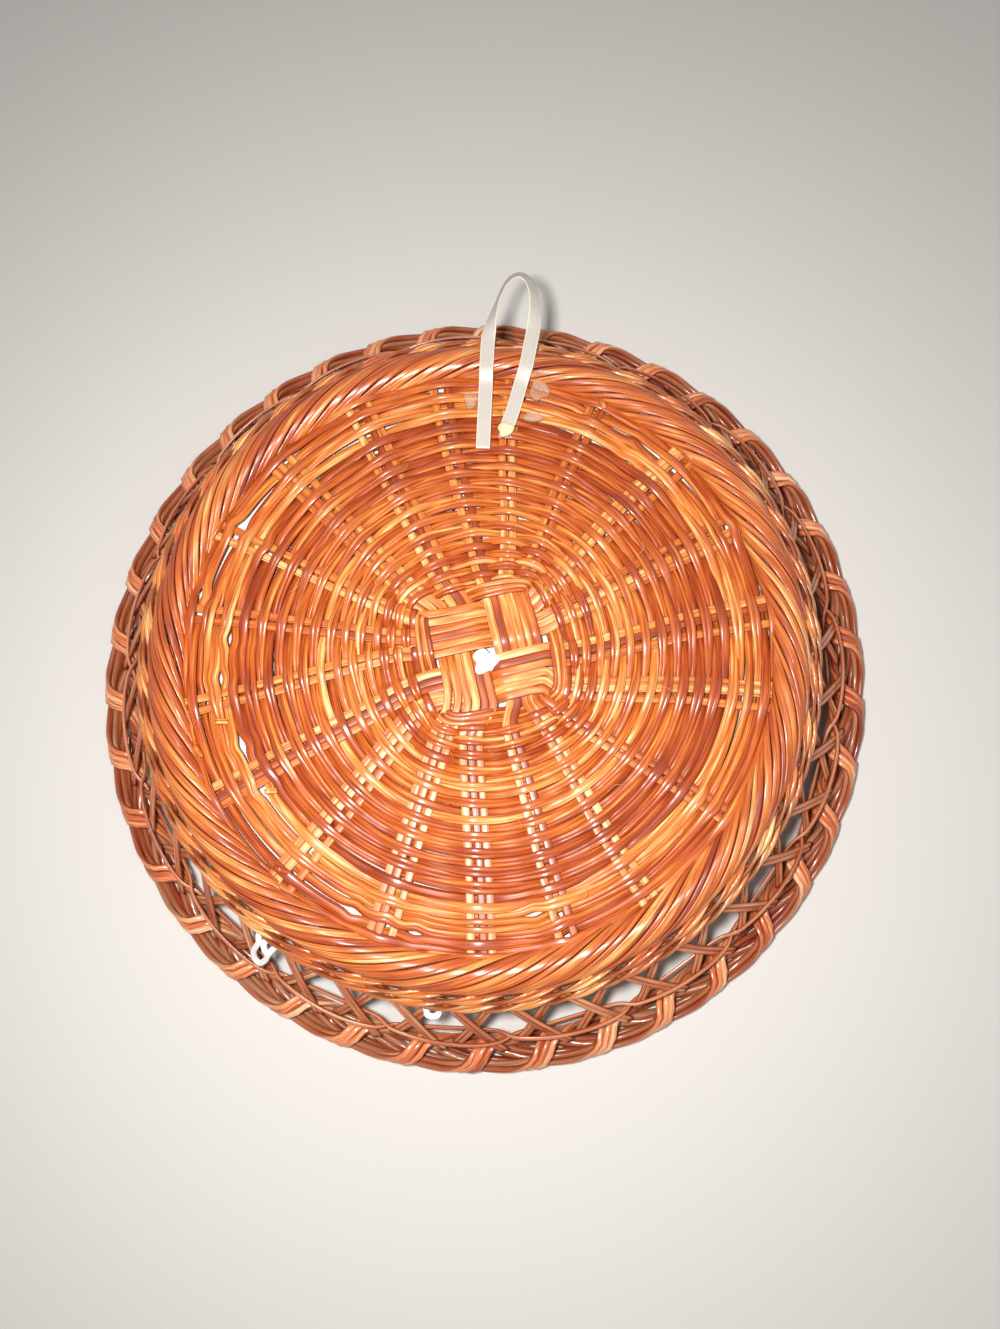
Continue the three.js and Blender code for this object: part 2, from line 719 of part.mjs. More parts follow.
const leftTail = [
  { x: ribbonX(-0.057), y: hingeY - clearance - leftTailLength },
  { x: ribbonX(-0.028), y: hingeY - clearance - leftTailLength / 2 },
  { x: ribbonX(0), y: hingeY - clearance },
];
const rightTail = [
  { x: ribbonX(0.37), y: hingeY - clearance - rightTailLength },
  { x: ribbonX(0.54), y: hingeY - clearance - rightTailLength * 0.57 },
  { x: ribbonX(0.705), y: hingeY - clearance },
];
const loopRoute = [
  { x: ribbonX(0), y: hingeY + clearance, z: tailZ, tip: 0 },
  { x: ribbonX(0.017), y: borderEdgeY, z: overFootZ, tip: 0 },
  { x: ribbonX(0.045), y: footRadius, z: overFootZ, tip: 0 },
  { x: ribbonX(0.114), y: footRadius + 0.27 * loopReach, z: mix(overFootZ, bightZ, 0.6), tip: 50 },
  { x: ribbonX(0.233), y: footRadius + 0.55 * loopReach, z: bightZ, tip: 78 },
  { x: ribbonX(0.369), y: footRadius + 0.8 * loopReach, z: bightZ, tip: 76 },
  { x: ribbonX(0.528), y: footRadius + 0.955 * loopReach, z: bightZ, tip: 62 },
  { x: ribbonX(0.716), y: footRadius + loopReach, z: bightZ, tip: 52 },
  { x: ribbonX(0.881), y: footRadius + 0.893 * loopReach, z: bightZ, tip: 50 },
  { x: ribbonX(0.983), y: footRadius + 0.676 * loopReach, z: bightZ, tip: 46 },
  { x: ribbonX(1), y: footRadius + 0.41 * loopReach, z: mix(overFootZ, bightZ, 0.7), tip: 30 },
  { x: ribbonX(0.966), y: footRadius + 0.143 * loopReach, z: overFootZ, tip: 8 },
  { x: ribbonX(0.909), y: footRadius - 0.082 * loopReach, z: overFootZ, tip: 0 },
  { x: ribbonX(0.807), y: borderEdgeY, z: overFootZ, tip: 0 },
  { x: ribbonX(0.716), y: hingeY + clearance, z: tailZ, tip: 0 },
];

function ribbonTail(route) {
  const points = route.map(({ x, y }) => new THREE.Vector3(x, y, tailZ));
  return sweep(framesAlong(points, () => up), flatSection(ribbonWidth, ribbonThickness));
}

function ribbonLoop() {
  const points = loopRoute.map(({ x, y, z }) => new THREE.Vector3(x, y, z));
  const frames = framesAlong(points, () => up);
  frames.forEach((frame, i) => {
    const tip = loopRoute[i].tip * degree;
    const side = frame.side.clone();
    frame.side.multiplyScalar(Math.cos(tip)).addScaledVector(frame.rise, -Math.sin(tip));
    frame.rise.multiplyScalar(Math.cos(tip)).addScaledVector(side, Math.sin(tip));
    frame.stretch = Math.min(frame.stretch, 0.1);
  });
  return sweep(frames, flatSection(ribbonWidth, ribbonThickness));
}

// A dab of glue, a low dome with an uneven outline
function glueDab({ x, y, z, radius, unevenness }) {
  const profile = [[0, 0], [1, 0], [0.93, 0.45], [0.62, 0.85], [0, 1]];
  const outline = profile.map(([across, high]) => {
    return new THREE.Vector2(across * radius, high * glueHeight);
  });
  const lathe = new THREE.LatheGeometry(outline, 12);
  lathe.deleteAttribute("normal");
  lathe.deleteAttribute("uv");
  const dab = mergeVertices(lathe, 1e-4);
  dab.rotateX(90 * degree);
  const position = dab.getAttribute("position");
  for (let i = 0; i < position.count; i += 1) {
    const angle = Math.atan2(position.getY(i), position.getX(i));
    const swell = 1 + unevenness * Math.sin(3 * angle + x);
    position.setXY(i, position.getX(i) * swell, position.getY(i) * swell);
  }
  dab.translate(x, y, z);
  return dab;
}

// Assembly
addPiece("rim_border", rimBorder(), rimReed);
addPiece("foot_border", footBorder(), orangeReed);
const upperWale = waleRing(upperWaleRadius, upperWaleZ, upperWaleWidth, upperWaleHeight);
const lowerWale = waleRing(lowerWaleRadius, lowerWaleZ, lowerWaleWidth, lowerWaleHeight);
addPiece("right_leaning_stakes", leaningStakes(lowerWale, [outerTop, outerEnd], 1), rimReed);
const innerRoute = [innerStart, innerBend, innerEnd];
addPiece("left_leaning_stakes", leaningStakes(upperWale, innerRoute, -1), rimReed);
addPiece("twined_pair", twinedPair(), orangeReed);
for (const bundle of bundles) {
  for (let lane = 0; lane < reedsPerBundle; lane += 1) {
    const color = lane % 3 === 1 ? redReed : goldenReed;
    addPiece(`spoke_reed_${bundle.name}_${lane + 1}`, spokeReed(bundle, lane), color);
  }
}
weavers().forEach((geometry, i) => {
  addPiece(`weaver_${i + 1}`, geometry, orangeReed);
});
addPiece("lace_doily", doily(), laceWhite, 0.9);
addPiece("ribbon_tail_left", ribbonTail(leftTail), ribbonWhite);
addPiece("ribbon_tail_right", ribbonTail(rightTail), ribbonWhite);
addPiece("ribbon_loop", ribbonLoop(), ribbonWhite);
const dabOnTail = {
  x: ribbonX(0.386),
  y: rightTail[0].y + 0.12 * rightTailLength,
  z: tailZ + ribbonThickness / 2 + clearance,
  radius: dabOnTailRadius,
  unevenness: 0.08,
};
const sunkZ = weaveTop + clearance - glueSink;
const rightDab = {
  x: ribbonX(1.1),
  y: hingeY - rightDabRadius * 1.35,
  z: sunkZ,
  radius: rightDabRadius,
  unevenness: 0.12,
};
const leftDab = {
  x: ribbonX(-0.3125),
  y: hingeY - leftDabRadius * 3.1,
  z: sunkZ,
  radius: leftDabRadius,
  unevenness: 0.12,
};
addPiece("glue_on_right_tail", glueDab(dabOnTail), glueAmber);
addPiece("glue_beside_right_tail", glueDab(rightDab), glueAmber);
addPiece("glue_beside_left_tail", glueDab(leftDab), glueAmber);

export default basket;
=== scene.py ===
import math

import bpy
import json
import numpy as np
from mathutils import Matrix
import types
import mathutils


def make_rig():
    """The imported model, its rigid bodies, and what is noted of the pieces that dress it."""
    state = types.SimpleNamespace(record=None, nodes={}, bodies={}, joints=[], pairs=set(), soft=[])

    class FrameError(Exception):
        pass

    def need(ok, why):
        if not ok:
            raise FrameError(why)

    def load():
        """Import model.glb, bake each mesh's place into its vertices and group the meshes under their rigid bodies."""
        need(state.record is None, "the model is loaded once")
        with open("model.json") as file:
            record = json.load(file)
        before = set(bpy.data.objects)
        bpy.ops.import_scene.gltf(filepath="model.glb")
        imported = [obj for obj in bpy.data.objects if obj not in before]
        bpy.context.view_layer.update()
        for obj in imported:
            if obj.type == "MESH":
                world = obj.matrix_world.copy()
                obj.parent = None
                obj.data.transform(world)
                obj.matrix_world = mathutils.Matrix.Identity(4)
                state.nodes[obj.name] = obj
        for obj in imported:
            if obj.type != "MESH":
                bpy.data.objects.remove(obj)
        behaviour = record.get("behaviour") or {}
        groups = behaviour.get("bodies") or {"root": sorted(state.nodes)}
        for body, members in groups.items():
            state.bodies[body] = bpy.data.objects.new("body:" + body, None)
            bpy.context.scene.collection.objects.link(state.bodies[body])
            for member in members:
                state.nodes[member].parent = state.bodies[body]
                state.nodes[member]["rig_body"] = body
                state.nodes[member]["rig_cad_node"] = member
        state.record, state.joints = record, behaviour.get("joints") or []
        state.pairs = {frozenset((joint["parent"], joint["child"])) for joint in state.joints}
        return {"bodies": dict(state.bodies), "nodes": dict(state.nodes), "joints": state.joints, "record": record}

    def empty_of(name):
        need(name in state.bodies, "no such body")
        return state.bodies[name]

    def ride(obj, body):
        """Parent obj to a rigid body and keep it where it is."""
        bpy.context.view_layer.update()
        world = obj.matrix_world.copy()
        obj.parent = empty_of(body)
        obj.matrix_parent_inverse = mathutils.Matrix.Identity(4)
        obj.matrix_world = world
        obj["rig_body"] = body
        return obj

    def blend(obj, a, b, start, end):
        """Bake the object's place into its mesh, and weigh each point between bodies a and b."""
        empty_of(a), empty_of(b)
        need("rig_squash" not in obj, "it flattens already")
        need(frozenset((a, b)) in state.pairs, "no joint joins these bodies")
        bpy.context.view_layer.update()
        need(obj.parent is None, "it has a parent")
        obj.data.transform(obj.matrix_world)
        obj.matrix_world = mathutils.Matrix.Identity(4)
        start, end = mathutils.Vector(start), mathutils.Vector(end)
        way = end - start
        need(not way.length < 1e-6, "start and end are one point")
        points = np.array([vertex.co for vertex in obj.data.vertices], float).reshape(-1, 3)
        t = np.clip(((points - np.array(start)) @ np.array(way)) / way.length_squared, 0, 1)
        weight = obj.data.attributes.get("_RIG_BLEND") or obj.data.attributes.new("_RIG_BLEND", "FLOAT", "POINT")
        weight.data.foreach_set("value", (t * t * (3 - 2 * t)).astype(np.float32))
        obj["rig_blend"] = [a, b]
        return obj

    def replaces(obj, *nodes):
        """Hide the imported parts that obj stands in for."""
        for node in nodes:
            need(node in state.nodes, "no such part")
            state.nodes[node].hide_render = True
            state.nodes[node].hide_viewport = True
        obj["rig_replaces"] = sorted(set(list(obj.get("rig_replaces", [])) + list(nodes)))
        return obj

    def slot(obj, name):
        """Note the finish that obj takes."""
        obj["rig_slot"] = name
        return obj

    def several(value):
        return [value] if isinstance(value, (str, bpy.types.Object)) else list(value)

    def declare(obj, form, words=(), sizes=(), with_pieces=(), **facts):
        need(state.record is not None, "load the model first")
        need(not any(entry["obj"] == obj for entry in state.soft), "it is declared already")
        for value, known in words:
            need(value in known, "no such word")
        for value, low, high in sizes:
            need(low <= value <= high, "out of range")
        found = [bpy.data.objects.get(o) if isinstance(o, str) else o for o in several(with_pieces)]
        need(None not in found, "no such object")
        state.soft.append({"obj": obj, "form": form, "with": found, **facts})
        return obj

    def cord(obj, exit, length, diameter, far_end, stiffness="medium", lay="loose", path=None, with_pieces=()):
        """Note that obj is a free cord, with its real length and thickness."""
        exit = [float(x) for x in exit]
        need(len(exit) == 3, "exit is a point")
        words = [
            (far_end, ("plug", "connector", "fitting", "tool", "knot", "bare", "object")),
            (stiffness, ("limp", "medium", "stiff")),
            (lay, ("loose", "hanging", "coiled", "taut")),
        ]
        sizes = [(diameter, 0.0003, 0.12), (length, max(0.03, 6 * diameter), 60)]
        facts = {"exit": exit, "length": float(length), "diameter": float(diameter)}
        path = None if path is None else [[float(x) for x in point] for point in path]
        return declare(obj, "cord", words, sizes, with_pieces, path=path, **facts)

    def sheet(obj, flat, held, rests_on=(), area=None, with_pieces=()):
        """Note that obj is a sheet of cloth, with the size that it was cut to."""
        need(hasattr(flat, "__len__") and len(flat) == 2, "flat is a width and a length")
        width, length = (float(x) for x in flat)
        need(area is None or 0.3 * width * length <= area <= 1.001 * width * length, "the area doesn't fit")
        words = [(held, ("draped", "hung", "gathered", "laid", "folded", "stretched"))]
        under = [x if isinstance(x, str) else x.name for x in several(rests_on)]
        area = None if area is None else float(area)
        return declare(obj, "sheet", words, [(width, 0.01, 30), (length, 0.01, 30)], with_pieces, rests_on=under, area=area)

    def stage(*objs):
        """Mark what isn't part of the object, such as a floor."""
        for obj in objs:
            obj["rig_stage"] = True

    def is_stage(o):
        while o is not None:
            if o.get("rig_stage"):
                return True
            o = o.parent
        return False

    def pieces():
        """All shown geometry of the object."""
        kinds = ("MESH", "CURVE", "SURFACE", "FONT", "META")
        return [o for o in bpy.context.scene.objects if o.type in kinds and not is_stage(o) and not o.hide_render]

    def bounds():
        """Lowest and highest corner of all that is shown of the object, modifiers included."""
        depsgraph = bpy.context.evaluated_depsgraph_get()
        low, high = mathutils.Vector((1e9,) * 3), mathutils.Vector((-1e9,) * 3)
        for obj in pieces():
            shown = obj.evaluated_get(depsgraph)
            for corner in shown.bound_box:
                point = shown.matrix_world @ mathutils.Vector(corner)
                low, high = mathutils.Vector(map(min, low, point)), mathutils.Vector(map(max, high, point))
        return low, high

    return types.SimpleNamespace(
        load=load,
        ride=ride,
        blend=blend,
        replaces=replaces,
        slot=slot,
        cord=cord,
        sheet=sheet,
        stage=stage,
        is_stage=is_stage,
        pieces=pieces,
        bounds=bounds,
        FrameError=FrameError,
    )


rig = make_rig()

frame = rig.load()
cad_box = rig.bounds()

# The view, solved from the circles of the rim, the shoulder and the foot border. The basket lies
# face down and is looked down on from close by, from a little below its middle. The height of
# the photograph and the focal length are both in its pixels.
photo_height = 1329
focal_pixels = 1000
camera_place = np.array([0.0164, -0.0713, 0.3751])
forward = np.array([-0.0248, 0.1964, -0.9802])
rightward = np.cross(forward, (0.0, 1.0, 0.0))
rightward /= np.linalg.norm(rightward)
upward = np.cross(rightward, forward)
view = bpy.data.cameras.new("view")
view.sensor_fit = "VERTICAL"
view.sensor_height = 36.0
view.lens = view.sensor_height * focal_pixels / photo_height
view.clip_start = 0.01
camera = bpy.data.objects.new("view", view)
axes = np.stack([rightward, upward, -forward, camera_place], 1)
camera.matrix_world = Matrix([*axes.tolist(), [0, 0, 0, 1]])
bpy.context.scene.collection.objects.link(camera)
bpy.context.scene.camera = camera


# Ribbon, one 5 mm length of woven white ribbon, laid out first because it is free to bend. Both
# tails are glued flat on the weave, and between them it crosses the foot border and tips up in a
# loop, from which the basket hangs. Its right end is frayed.
tail_level = 0.04685
border_level = 0.0490
loop_level = 0.0503
ribbon_width = 0.0050
ribbon_thickness = 0.0005

# The route's points: x and y in millimetres, the height in metres, and the tip in degrees
ribbon_route = [
    (2.1, 71.6, tail_level, 0), (2.6, 84, tail_level, 0), (3.1, 96.4, tail_level, 0),
    (3.3, 101.2, border_level, 0), (3.9, 112.5, border_level, 0), (5.1, 119, 0.0498, 42),
    (7.2, 126, loop_level, 66), (9.6, 132, loop_level, 62), (12.4, 135.8, loop_level, 46),
    (15.7, 136.9, loop_level, 38), (18.6, 134.3, loop_level, 42), (20.4, 129, loop_level, 44),
    (20.7, 122.5, 0.0499, 30), (20.1, 116, border_level, 8), (19.1, 110.5, border_level, 0),
    (17.3, 101.2, border_level, 0), (15.6, 96.6, tail_level, 0), (12.6, 85.5, tail_level, 0),
    (9.6, 77.2, tail_level, 0),
]

# The way up, and a seeded source of chance, so that each run makes the same basket
straight_up = np.array([0.0, 0.0, 1.0])
chance = np.random.default_rng(11)


def linear(code):
    """Turn an sRGB hex value to linear: c / 12.92 when dark, ((c + 0.055) / 1.055) ** 2.4 above."""
    c = np.array([int(code[i : i + 2], 16) for i in (1, 3, 5)]) / 255
    return (*np.where(c <= 0.04045, c / 12.92, ((c + 0.055) / 1.055) ** 2.4), 1.0)


def add(tree, kind, values=(), **settings):
    """Add a shader node, set its properties, and set or link its inputs."""
    node = tree.nodes.new("ShaderNode" + kind)
    for key, value in settings.items():
        setattr(node, key, value)
    for key, value in dict(values).items():
        if isinstance(value, bpy.types.NodeSocket):
            tree.links.new(value, node.inputs[key])
        else:
            node.inputs[key].default_value = value
    return node


def maths(tree, operation, *values):
    """Work out one step of arithmetic."""
    return add(tree, "Math", dict(enumerate(values)), operation=operation).outputs[0]


def ranged(tree, value, start, stop, low, high):
    """Turn a value between start and stop to one between low and high, and no further."""
    spans = {"Value": value, "From Min": start, "From Max": stop, "To Min": low, "To Max": high}
    return add(tree, "MapRange", spans).outputs["Result"]


def mixed(tree, share, first, second):
    """Mix two colours by the second one's share."""
    return add(tree, "Mix", {0: share, 6: first, 7: second}, data_type="RGBA").outputs[2]


def emboss(tree, surface, height, strength, distance, sockets=("Normal",)):
    """Make a surface look raised by a height times the distance."""
    relief = add(tree, "Bump", {"Height": height, "Strength": strength, "Distance": distance})
    for socket in sockets:
        tree.links.new(relief.outputs["Normal"], surface.inputs[socket])


def shades_of(tree, share, codes):
    """Spread hex colours evenly over a ramp, and read it at share."""
    ramp = add(tree, "ValToRGB", {"Fac": share})
    stops = ramp.color_ramp.elements
    while len(stops) < len(codes):
        stops.new(0.5)
    for i, code in enumerate(codes):
        stops[i].position = i / (len(codes) - 1)
        stops[i].color = linear(code)
    return ramp.outputs["Color"]


def new_material(name, **numbers):
    """Make a node material, and set inputs of its Principled shader by their names."""
    material = bpy.data.materials.new(name)
    material.use_nodes = True
    surface = material.node_tree.nodes["Principled BSDF"]
    for key, value in numbers.items():
        surface.inputs[key.replace("_", " ")].default_value = value
    return material, material.node_tree, surface


def soft_route(corners, steps, softness):
    """Space points evenly along straight runs between corners, and average each with its
    neighbours within softness, a share of the whole, so that the corners turn in a curve."""
    corners = np.asarray(corners, float)
    run = np.linalg.norm(np.diff(corners[:, :3], axis=0), axis=1)
    run = np.concatenate([[0], np.cumsum(run)])
    fine = np.linspace(0, run[-1], steps * 4)
    points = np.stack([np.interp(fine, run, column) for column in corners.T], 1)
    reach = max(int(steps * 4 * softness), 1)
    weights = np.hanning(2 * reach + 3)[1:-1]
    before = 2 * points[0] - points[reach:0:-1]
    after = 2 * points[-1] - points[-2 : -reach - 2 : -1]
    padded = np.concatenate([before, points, after])
    smooth = [np.convolve(column, weights / weights.sum(), "valid") for column in padded.T]
    return np.stack(smooth, 1)[::4]


def mesh_piece(name, points, loops, starts, material, uv=None, tint=None):
    """Make a smooth mesh from arrays: points, loops of vertices, and where each face starts."""
    mesh = bpy.data.meshes.new(name)
    mesh.vertices.add(len(points))
    mesh.vertices.foreach_set("co", points.astype(np.float32).ravel())
    mesh.loops.add(len(loops))
    mesh.loops.foreach_set("vertex_index", loops.astype(np.int32))
    mesh.polygons.add(len(starts))
    mesh.polygons.foreach_set("loop_start", starts.astype(np.int32))
    mesh.update(calc_edges=True)
    mesh.polygons.foreach_set("use_smooth", np.ones(len(starts), bool))
    if uv is not None:
        layer = mesh.uv_layers.new(name="UVMap")
        layer.data.foreach_set("uv", uv.astype(np.float32).ravel())
    if tint is not None:
        layer = mesh.attributes.new("tint", "FLOAT", "POINT")
        layer.data.foreach_set("value", tint.astype(np.float32))
    mesh.materials.append(material)
    piece = bpy.data.objects.new(name, mesh)
    bpy.context.scene.collection.objects.link(piece)
    return piece


def axes_along(route, rise, closed=False):
    """Give the two unit axes across a route: side = ahead x rise, and lift = side x ahead."""
    if closed:
        ahead = np.roll(route, -1, 1) - np.roll(route, 1, 1)
    else:
        ahead = np.gradient(route, axis=1)
    ahead /= np.linalg.norm(ahead, axis=2, keepdims=True)
    side = np.cross(ahead, rise)
    side /= np.linalg.norm(side, axis=2, keepdims=True)
    return side, np.cross(side, ahead)


def carry_section(route, rise, width, thickness, tint, closed=False, sides=9, square=0.8):
    """Carry a rounded section along each route, an array of reeds by steps by 3. A point is
    route + side |cos a|^square w / 2 + lift |sin a|^square t / 2. A lower square flattens the
    section. The UV map has the share of the way round, and the metres along."""
    reeds, steps = route.shape[:2]
    side, lift = axes_along(route, rise, closed)
    turn = 2 * np.pi * (np.arange(sides) + 0.5) / sides - np.pi / 2
    across, high = (np.sign(f) * np.abs(f) ** square / 2 for f in (np.cos(turn), np.sin(turn)))
    wide = np.broadcast_to(np.asarray(width, float), (reeds, steps))[..., None, None]
    thick = np.broadcast_to(np.asarray(thickness, float), (reeds, steps))[..., None, None]
    points = route[:, :, None] + side[:, :, None] * across[:, None] * wide
    points = points + lift[:, :, None] * high[:, None] * thick
    loop = np.concatenate([route, route[:, :1]], 1) if closed else route
    length = np.cumsum(np.linalg.norm(np.diff(loop, axis=1), axis=2), 1)
    length = np.concatenate([np.zeros((reeds, 1)), length], 1) + chance.uniform(0, 3, (reeds, 1))
    spans = length.shape[1] - 1
    reed, step, corner = np.indices((reeds, spans, sides))

    def vertex(s, c):
        return (reed * steps + s % steps) * sides + c % sides

    ring = [vertex(step, corner), vertex(step + 1, corner)]
    ring += [vertex(step + 1, corner + 1), vertex(step, corner + 1)]
    loops = np.stack(ring, -1).ravel()
    starts = np.arange(reeds * spans * sides) * 4
    round_share = (np.stack([corner, corner, corner + 1, corner + 1], -1) + 0.5) / sides
    near, far = length[reed, step], length[reed, step + 1]
    uv = np.stack([round_share, np.stack([near, far, far, near], -1)], -1).reshape(-1, 2)
    if not closed:
        first = np.arange(reeds)[:, None] * steps * sides + np.arange(sides)
        caps = np.concatenate([first, (first + (steps - 1) * sides)[:, ::-1]])
        starts = np.concatenate([starts, len(loops) + np.arange(len(caps)) * sides])
        loops = np.concatenate([loops, caps.ravel()])
        cap_length = np.repeat(np.concatenate([length[:, 0], length[:, -1]]), sides)
        uv = np.concatenate([uv, np.stack([cap_length * 0, cap_length], -1)])
    tint = np.asarray(tint, float).reshape(reeds, -1, 1)
    tint = np.broadcast_to(tint, (reeds, steps, sides))
    return points.reshape(-1, 3), loops, starts, uv, tint.ravel()


def joined(parts):
    """Join the arrays of several carried sections into those of one mesh."""
    vertex_from = np.cumsum([0] + [len(part[0]) for part in parts])
    loop_from = np.cumsum([0] + [len(part[1]) for part in parts])
    return (
        np.concatenate([part[0] for part in parts]),
        np.concatenate([part[1] + base for part, base in zip(parts, vertex_from)]),
        np.concatenate([part[2] + base for part, base in zip(parts, loop_from)]),
        np.concatenate([part[3] for part in parts]),
        np.concatenate([part[4] for part in parts]),
    )


def make_piece(name, parts, material, slot, stands_for=(), body="basket"):
    """Make one piece of carried sections, which rides a body and stands for nodes of the CAD."""
    points, loops, starts, uv, tint = joined(parts)
    piece = mesh_piece(name, points, loops, starts, material, uv, tint)
    if body:
        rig.ride(piece, body)
    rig.slot(piece, slot)
    if stands_for:
        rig.replaces(piece, *stands_for)
    return piece


def ribbon_cloth():
    """White ribbon with a metal thread in its weave. Its two selvedges are plain cream."""
    material, tree, surface = new_material("woven_ribbon", Roughness=0.4)
    place = add(tree, "UVMap").outputs["UV"]
    across = add(tree, "SeparateXYZ", {"Vector": place}).outputs["X"]
    edge = maths(tree, "COSINE", maths(tree, "MULTIPLY", across, 4 * math.pi))
    selvedge = ranged(tree, edge, 0.1, -0.3, 0.0, 1.0)
    grain_place = add(tree, "Mapping", {"Vector": place, "Scale": (60, 4200, 1)})
    grain = add(tree, "TexNoise", {"Vector": grain_place.outputs[0], "Scale": 1, "Detail": 2})
    glitter = shades_of(tree, grain.outputs["Fac"], ["#83786d", "#c0b7ac", "#e6e0d7"])
    colour = mixed(tree, selvedge, glitter, linear("#e2d6c1"))
    tree.links.new(colour, surface.inputs["Base Color"])
    emboss(tree, surface, grain.outputs["Fac"], strength=0.5, distance=0.0001)
    return material


corners = np.array(ribbon_route)
corners[:, :2] /= 1000
ribbon_path = soft_route(corners, steps=140, softness=0.02)
tips = np.radians(ribbon_path[:, 3])
ribbon_path = ribbon_path[:, :3]
flat_side, flat_lift = axes_along(ribbon_path[None], straight_up)
tipped = np.cos(tips)[:, None] * flat_lift[0] - np.sin(tips)[:, None] * flat_side[0]
ribbon = make_piece(
    "ribbon",
    [carry_section(ribbon_path[None], tipped[None], ribbon_width, ribbon_thickness, [0.5],
                   sides=16, square=0.45)],
    ribbon_cloth(), "ribbon", ["ribbon_tail_left", "ribbon_tail_right", "ribbon_loop"], body=None,
)
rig.blend(ribbon, "basket", "hanger", (0.009, 0.0945, tail_level), (0.009, 0.0990, tail_level))
ribbon_length = np.linalg.norm(np.diff(ribbon_path, axis=0), axis=1).sum()

# Threads of its frayed right end, which hang on by their roots and lean apart
thread_count = 16
thread_step = 0.00028
thread_width = 0.00018
thread_root = 0.0006
fray_material = new_material("ribbon_threads", Base_Color=linear("#efe6d8"), Roughness=0.6)[0]
threads = []
for i in range(thread_count):
    aside = (i - (thread_count - 1) / 2) * thread_step
    start = ribbon_path[-1] + np.array([aside, thread_root, 0.0])
    lean = chance.normal(0, 0.25)
    bend = [start, start + np.array([lean * 0.8, -1, 0.05]) * 0.0012,
            start + np.array([lean * 2.6, -2, 0.12]) * chance.uniform(0.0009, 0.0018)]
    thread = soft_route(bend, steps=8, softness=0.1)[None]
    threads.append(
        carry_section(thread, straight_up, thread_width, thread_width, [0.5], sides=5)
    )
fray = make_piece("frayed_threads", threads, fray_material, "ribbon")
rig.cord(
    ribbon, ribbon_path[0], ribbon_length, ribbon_width, "object", "limp", "loose",
    path=ribbon_path, with_pieces=[fray],
)


# Glue, clear hot-melt dabs that hold the ribbon's tails. One cloudy blob sits on the frayed tail,
# and the others spilled beside the tails, ran in between the reeds and set in low clear drops.
glue_seat = 0.0446
blob_seat = 0.0469


def glue_drop(name, place, radius, height, stretch, phase, material, stands_for=(), lip=0.0):
    """A low dome: height (1 - q^4) (1 - lip + lip q^2) over an outline radius (1 + 0.12
    sin(3 a + phase) + 0.06 sin(5 a - phase)), where q is the share of the way out. A lip makes
    its middle sink. It is stretched along x and as much narrower along y."""
    rings, facets = 9, 40
    q = np.linspace(1, 0, rings)[:-1, None]
    a = np.arange(facets) / facets * 2 * np.pi
    reach = radius * (1 + 0.12 * np.sin(3 * a + phase) + 0.06 * np.sin(5 * a - phase))
    dome = np.stack(
        [q * reach * np.cos(a) * stretch, q * reach * np.sin(a) / stretch,
         height * (1 - q**4) * (1 - lip + lip * q**2) + 0 * a], -1,
    ).reshape(-1, 3)
    points = np.concatenate([dome, [[0, 0, height * (1 - lip)]]]) + np.array(place)
    ring, spoke = np.indices((rings - 2, facets))
    here, after = ring * facets + spoke, ring * facets + (spoke + 1) % facets
    quads = np.stack([here, after, after + facets, here + facets], -1).reshape(-1, 4)
    last = (rings - 2) * facets + np.arange(facets)
    tips = np.stack([last, np.roll(last, -1), np.full(facets, len(points) - 1)], -1)
    loops = np.concatenate([quads.ravel(), tips.ravel(), np.arange(facets)[::-1]])
    starts = np.concatenate(
        [np.arange(len(quads)) * 4, quads.size + np.arange(facets) * 3, [quads.size + tips.size]]
    )
    drop = mesh_piece(name, points, loops, starts, material)
    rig.ride(drop, "basket")
    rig.slot(drop, "clear_glue")
    if stands_for:
        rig.replaces(drop, *stands_for)


clear_glue, tree, surface = new_material(
    "clear_glue", Base_Color=linear("#fbe9cd"), Roughness=0.12, IOR=1.5
)
# Painted reflection: the glue turns paler and more opaque where it is seen at a slant, so a pale rim rings each drop;
# face on it is only faintly cloudy
facing = add(tree, "LayerWeight", {"Blend": 0.35}).outputs["Facing"]
tree.links.new(ranged(tree, facing, 0.0, 1.0, 0.14, 0.8), surface.inputs["Alpha"])
ripples = add(tree, "TexNoise", {"Scale": 420.0, "Detail": 1})
emboss(tree, surface, ripples.outputs["Fac"], strength=0.4, distance=0.0005)
cloudy_glue = new_material(
    "cloudy_glue", Base_Color=linear("#eadfa8"), Roughness=0.2, IOR=1.48, Alpha=0.92
)[0]
glue_drop(
    "glue_on_frayed_tail", (0.0101, 0.0788, blob_seat), radius=0.0029, height=0.0011,
    stretch=1.05, phase=1.0, material=cloudy_glue, stands_for=["glue_on_right_tail"],
)
glue_drop(
    "glue_right", (0.0220, 0.0944, glue_seat), radius=0.0039, height=0.0034, stretch=0.95,
    phase=2.2, material=clear_glue, stands_for=["glue_beside_right_tail"], lip=0.3,
)
glue_drop(
    "glue_left", (-0.0022, 0.0908, glue_seat), radius=0.0030, height=0.0028, stretch=0.95,
    phase=0.4, material=clear_glue, stands_for=["glue_beside_left_tail"], lip=0.2,
)
glue_drop(
    "glue_smear", (0.0196, 0.0842, glue_seat), radius=0.0028, height=0.0024, stretch=1.25,
    phase=3.0, material=clear_glue,
)


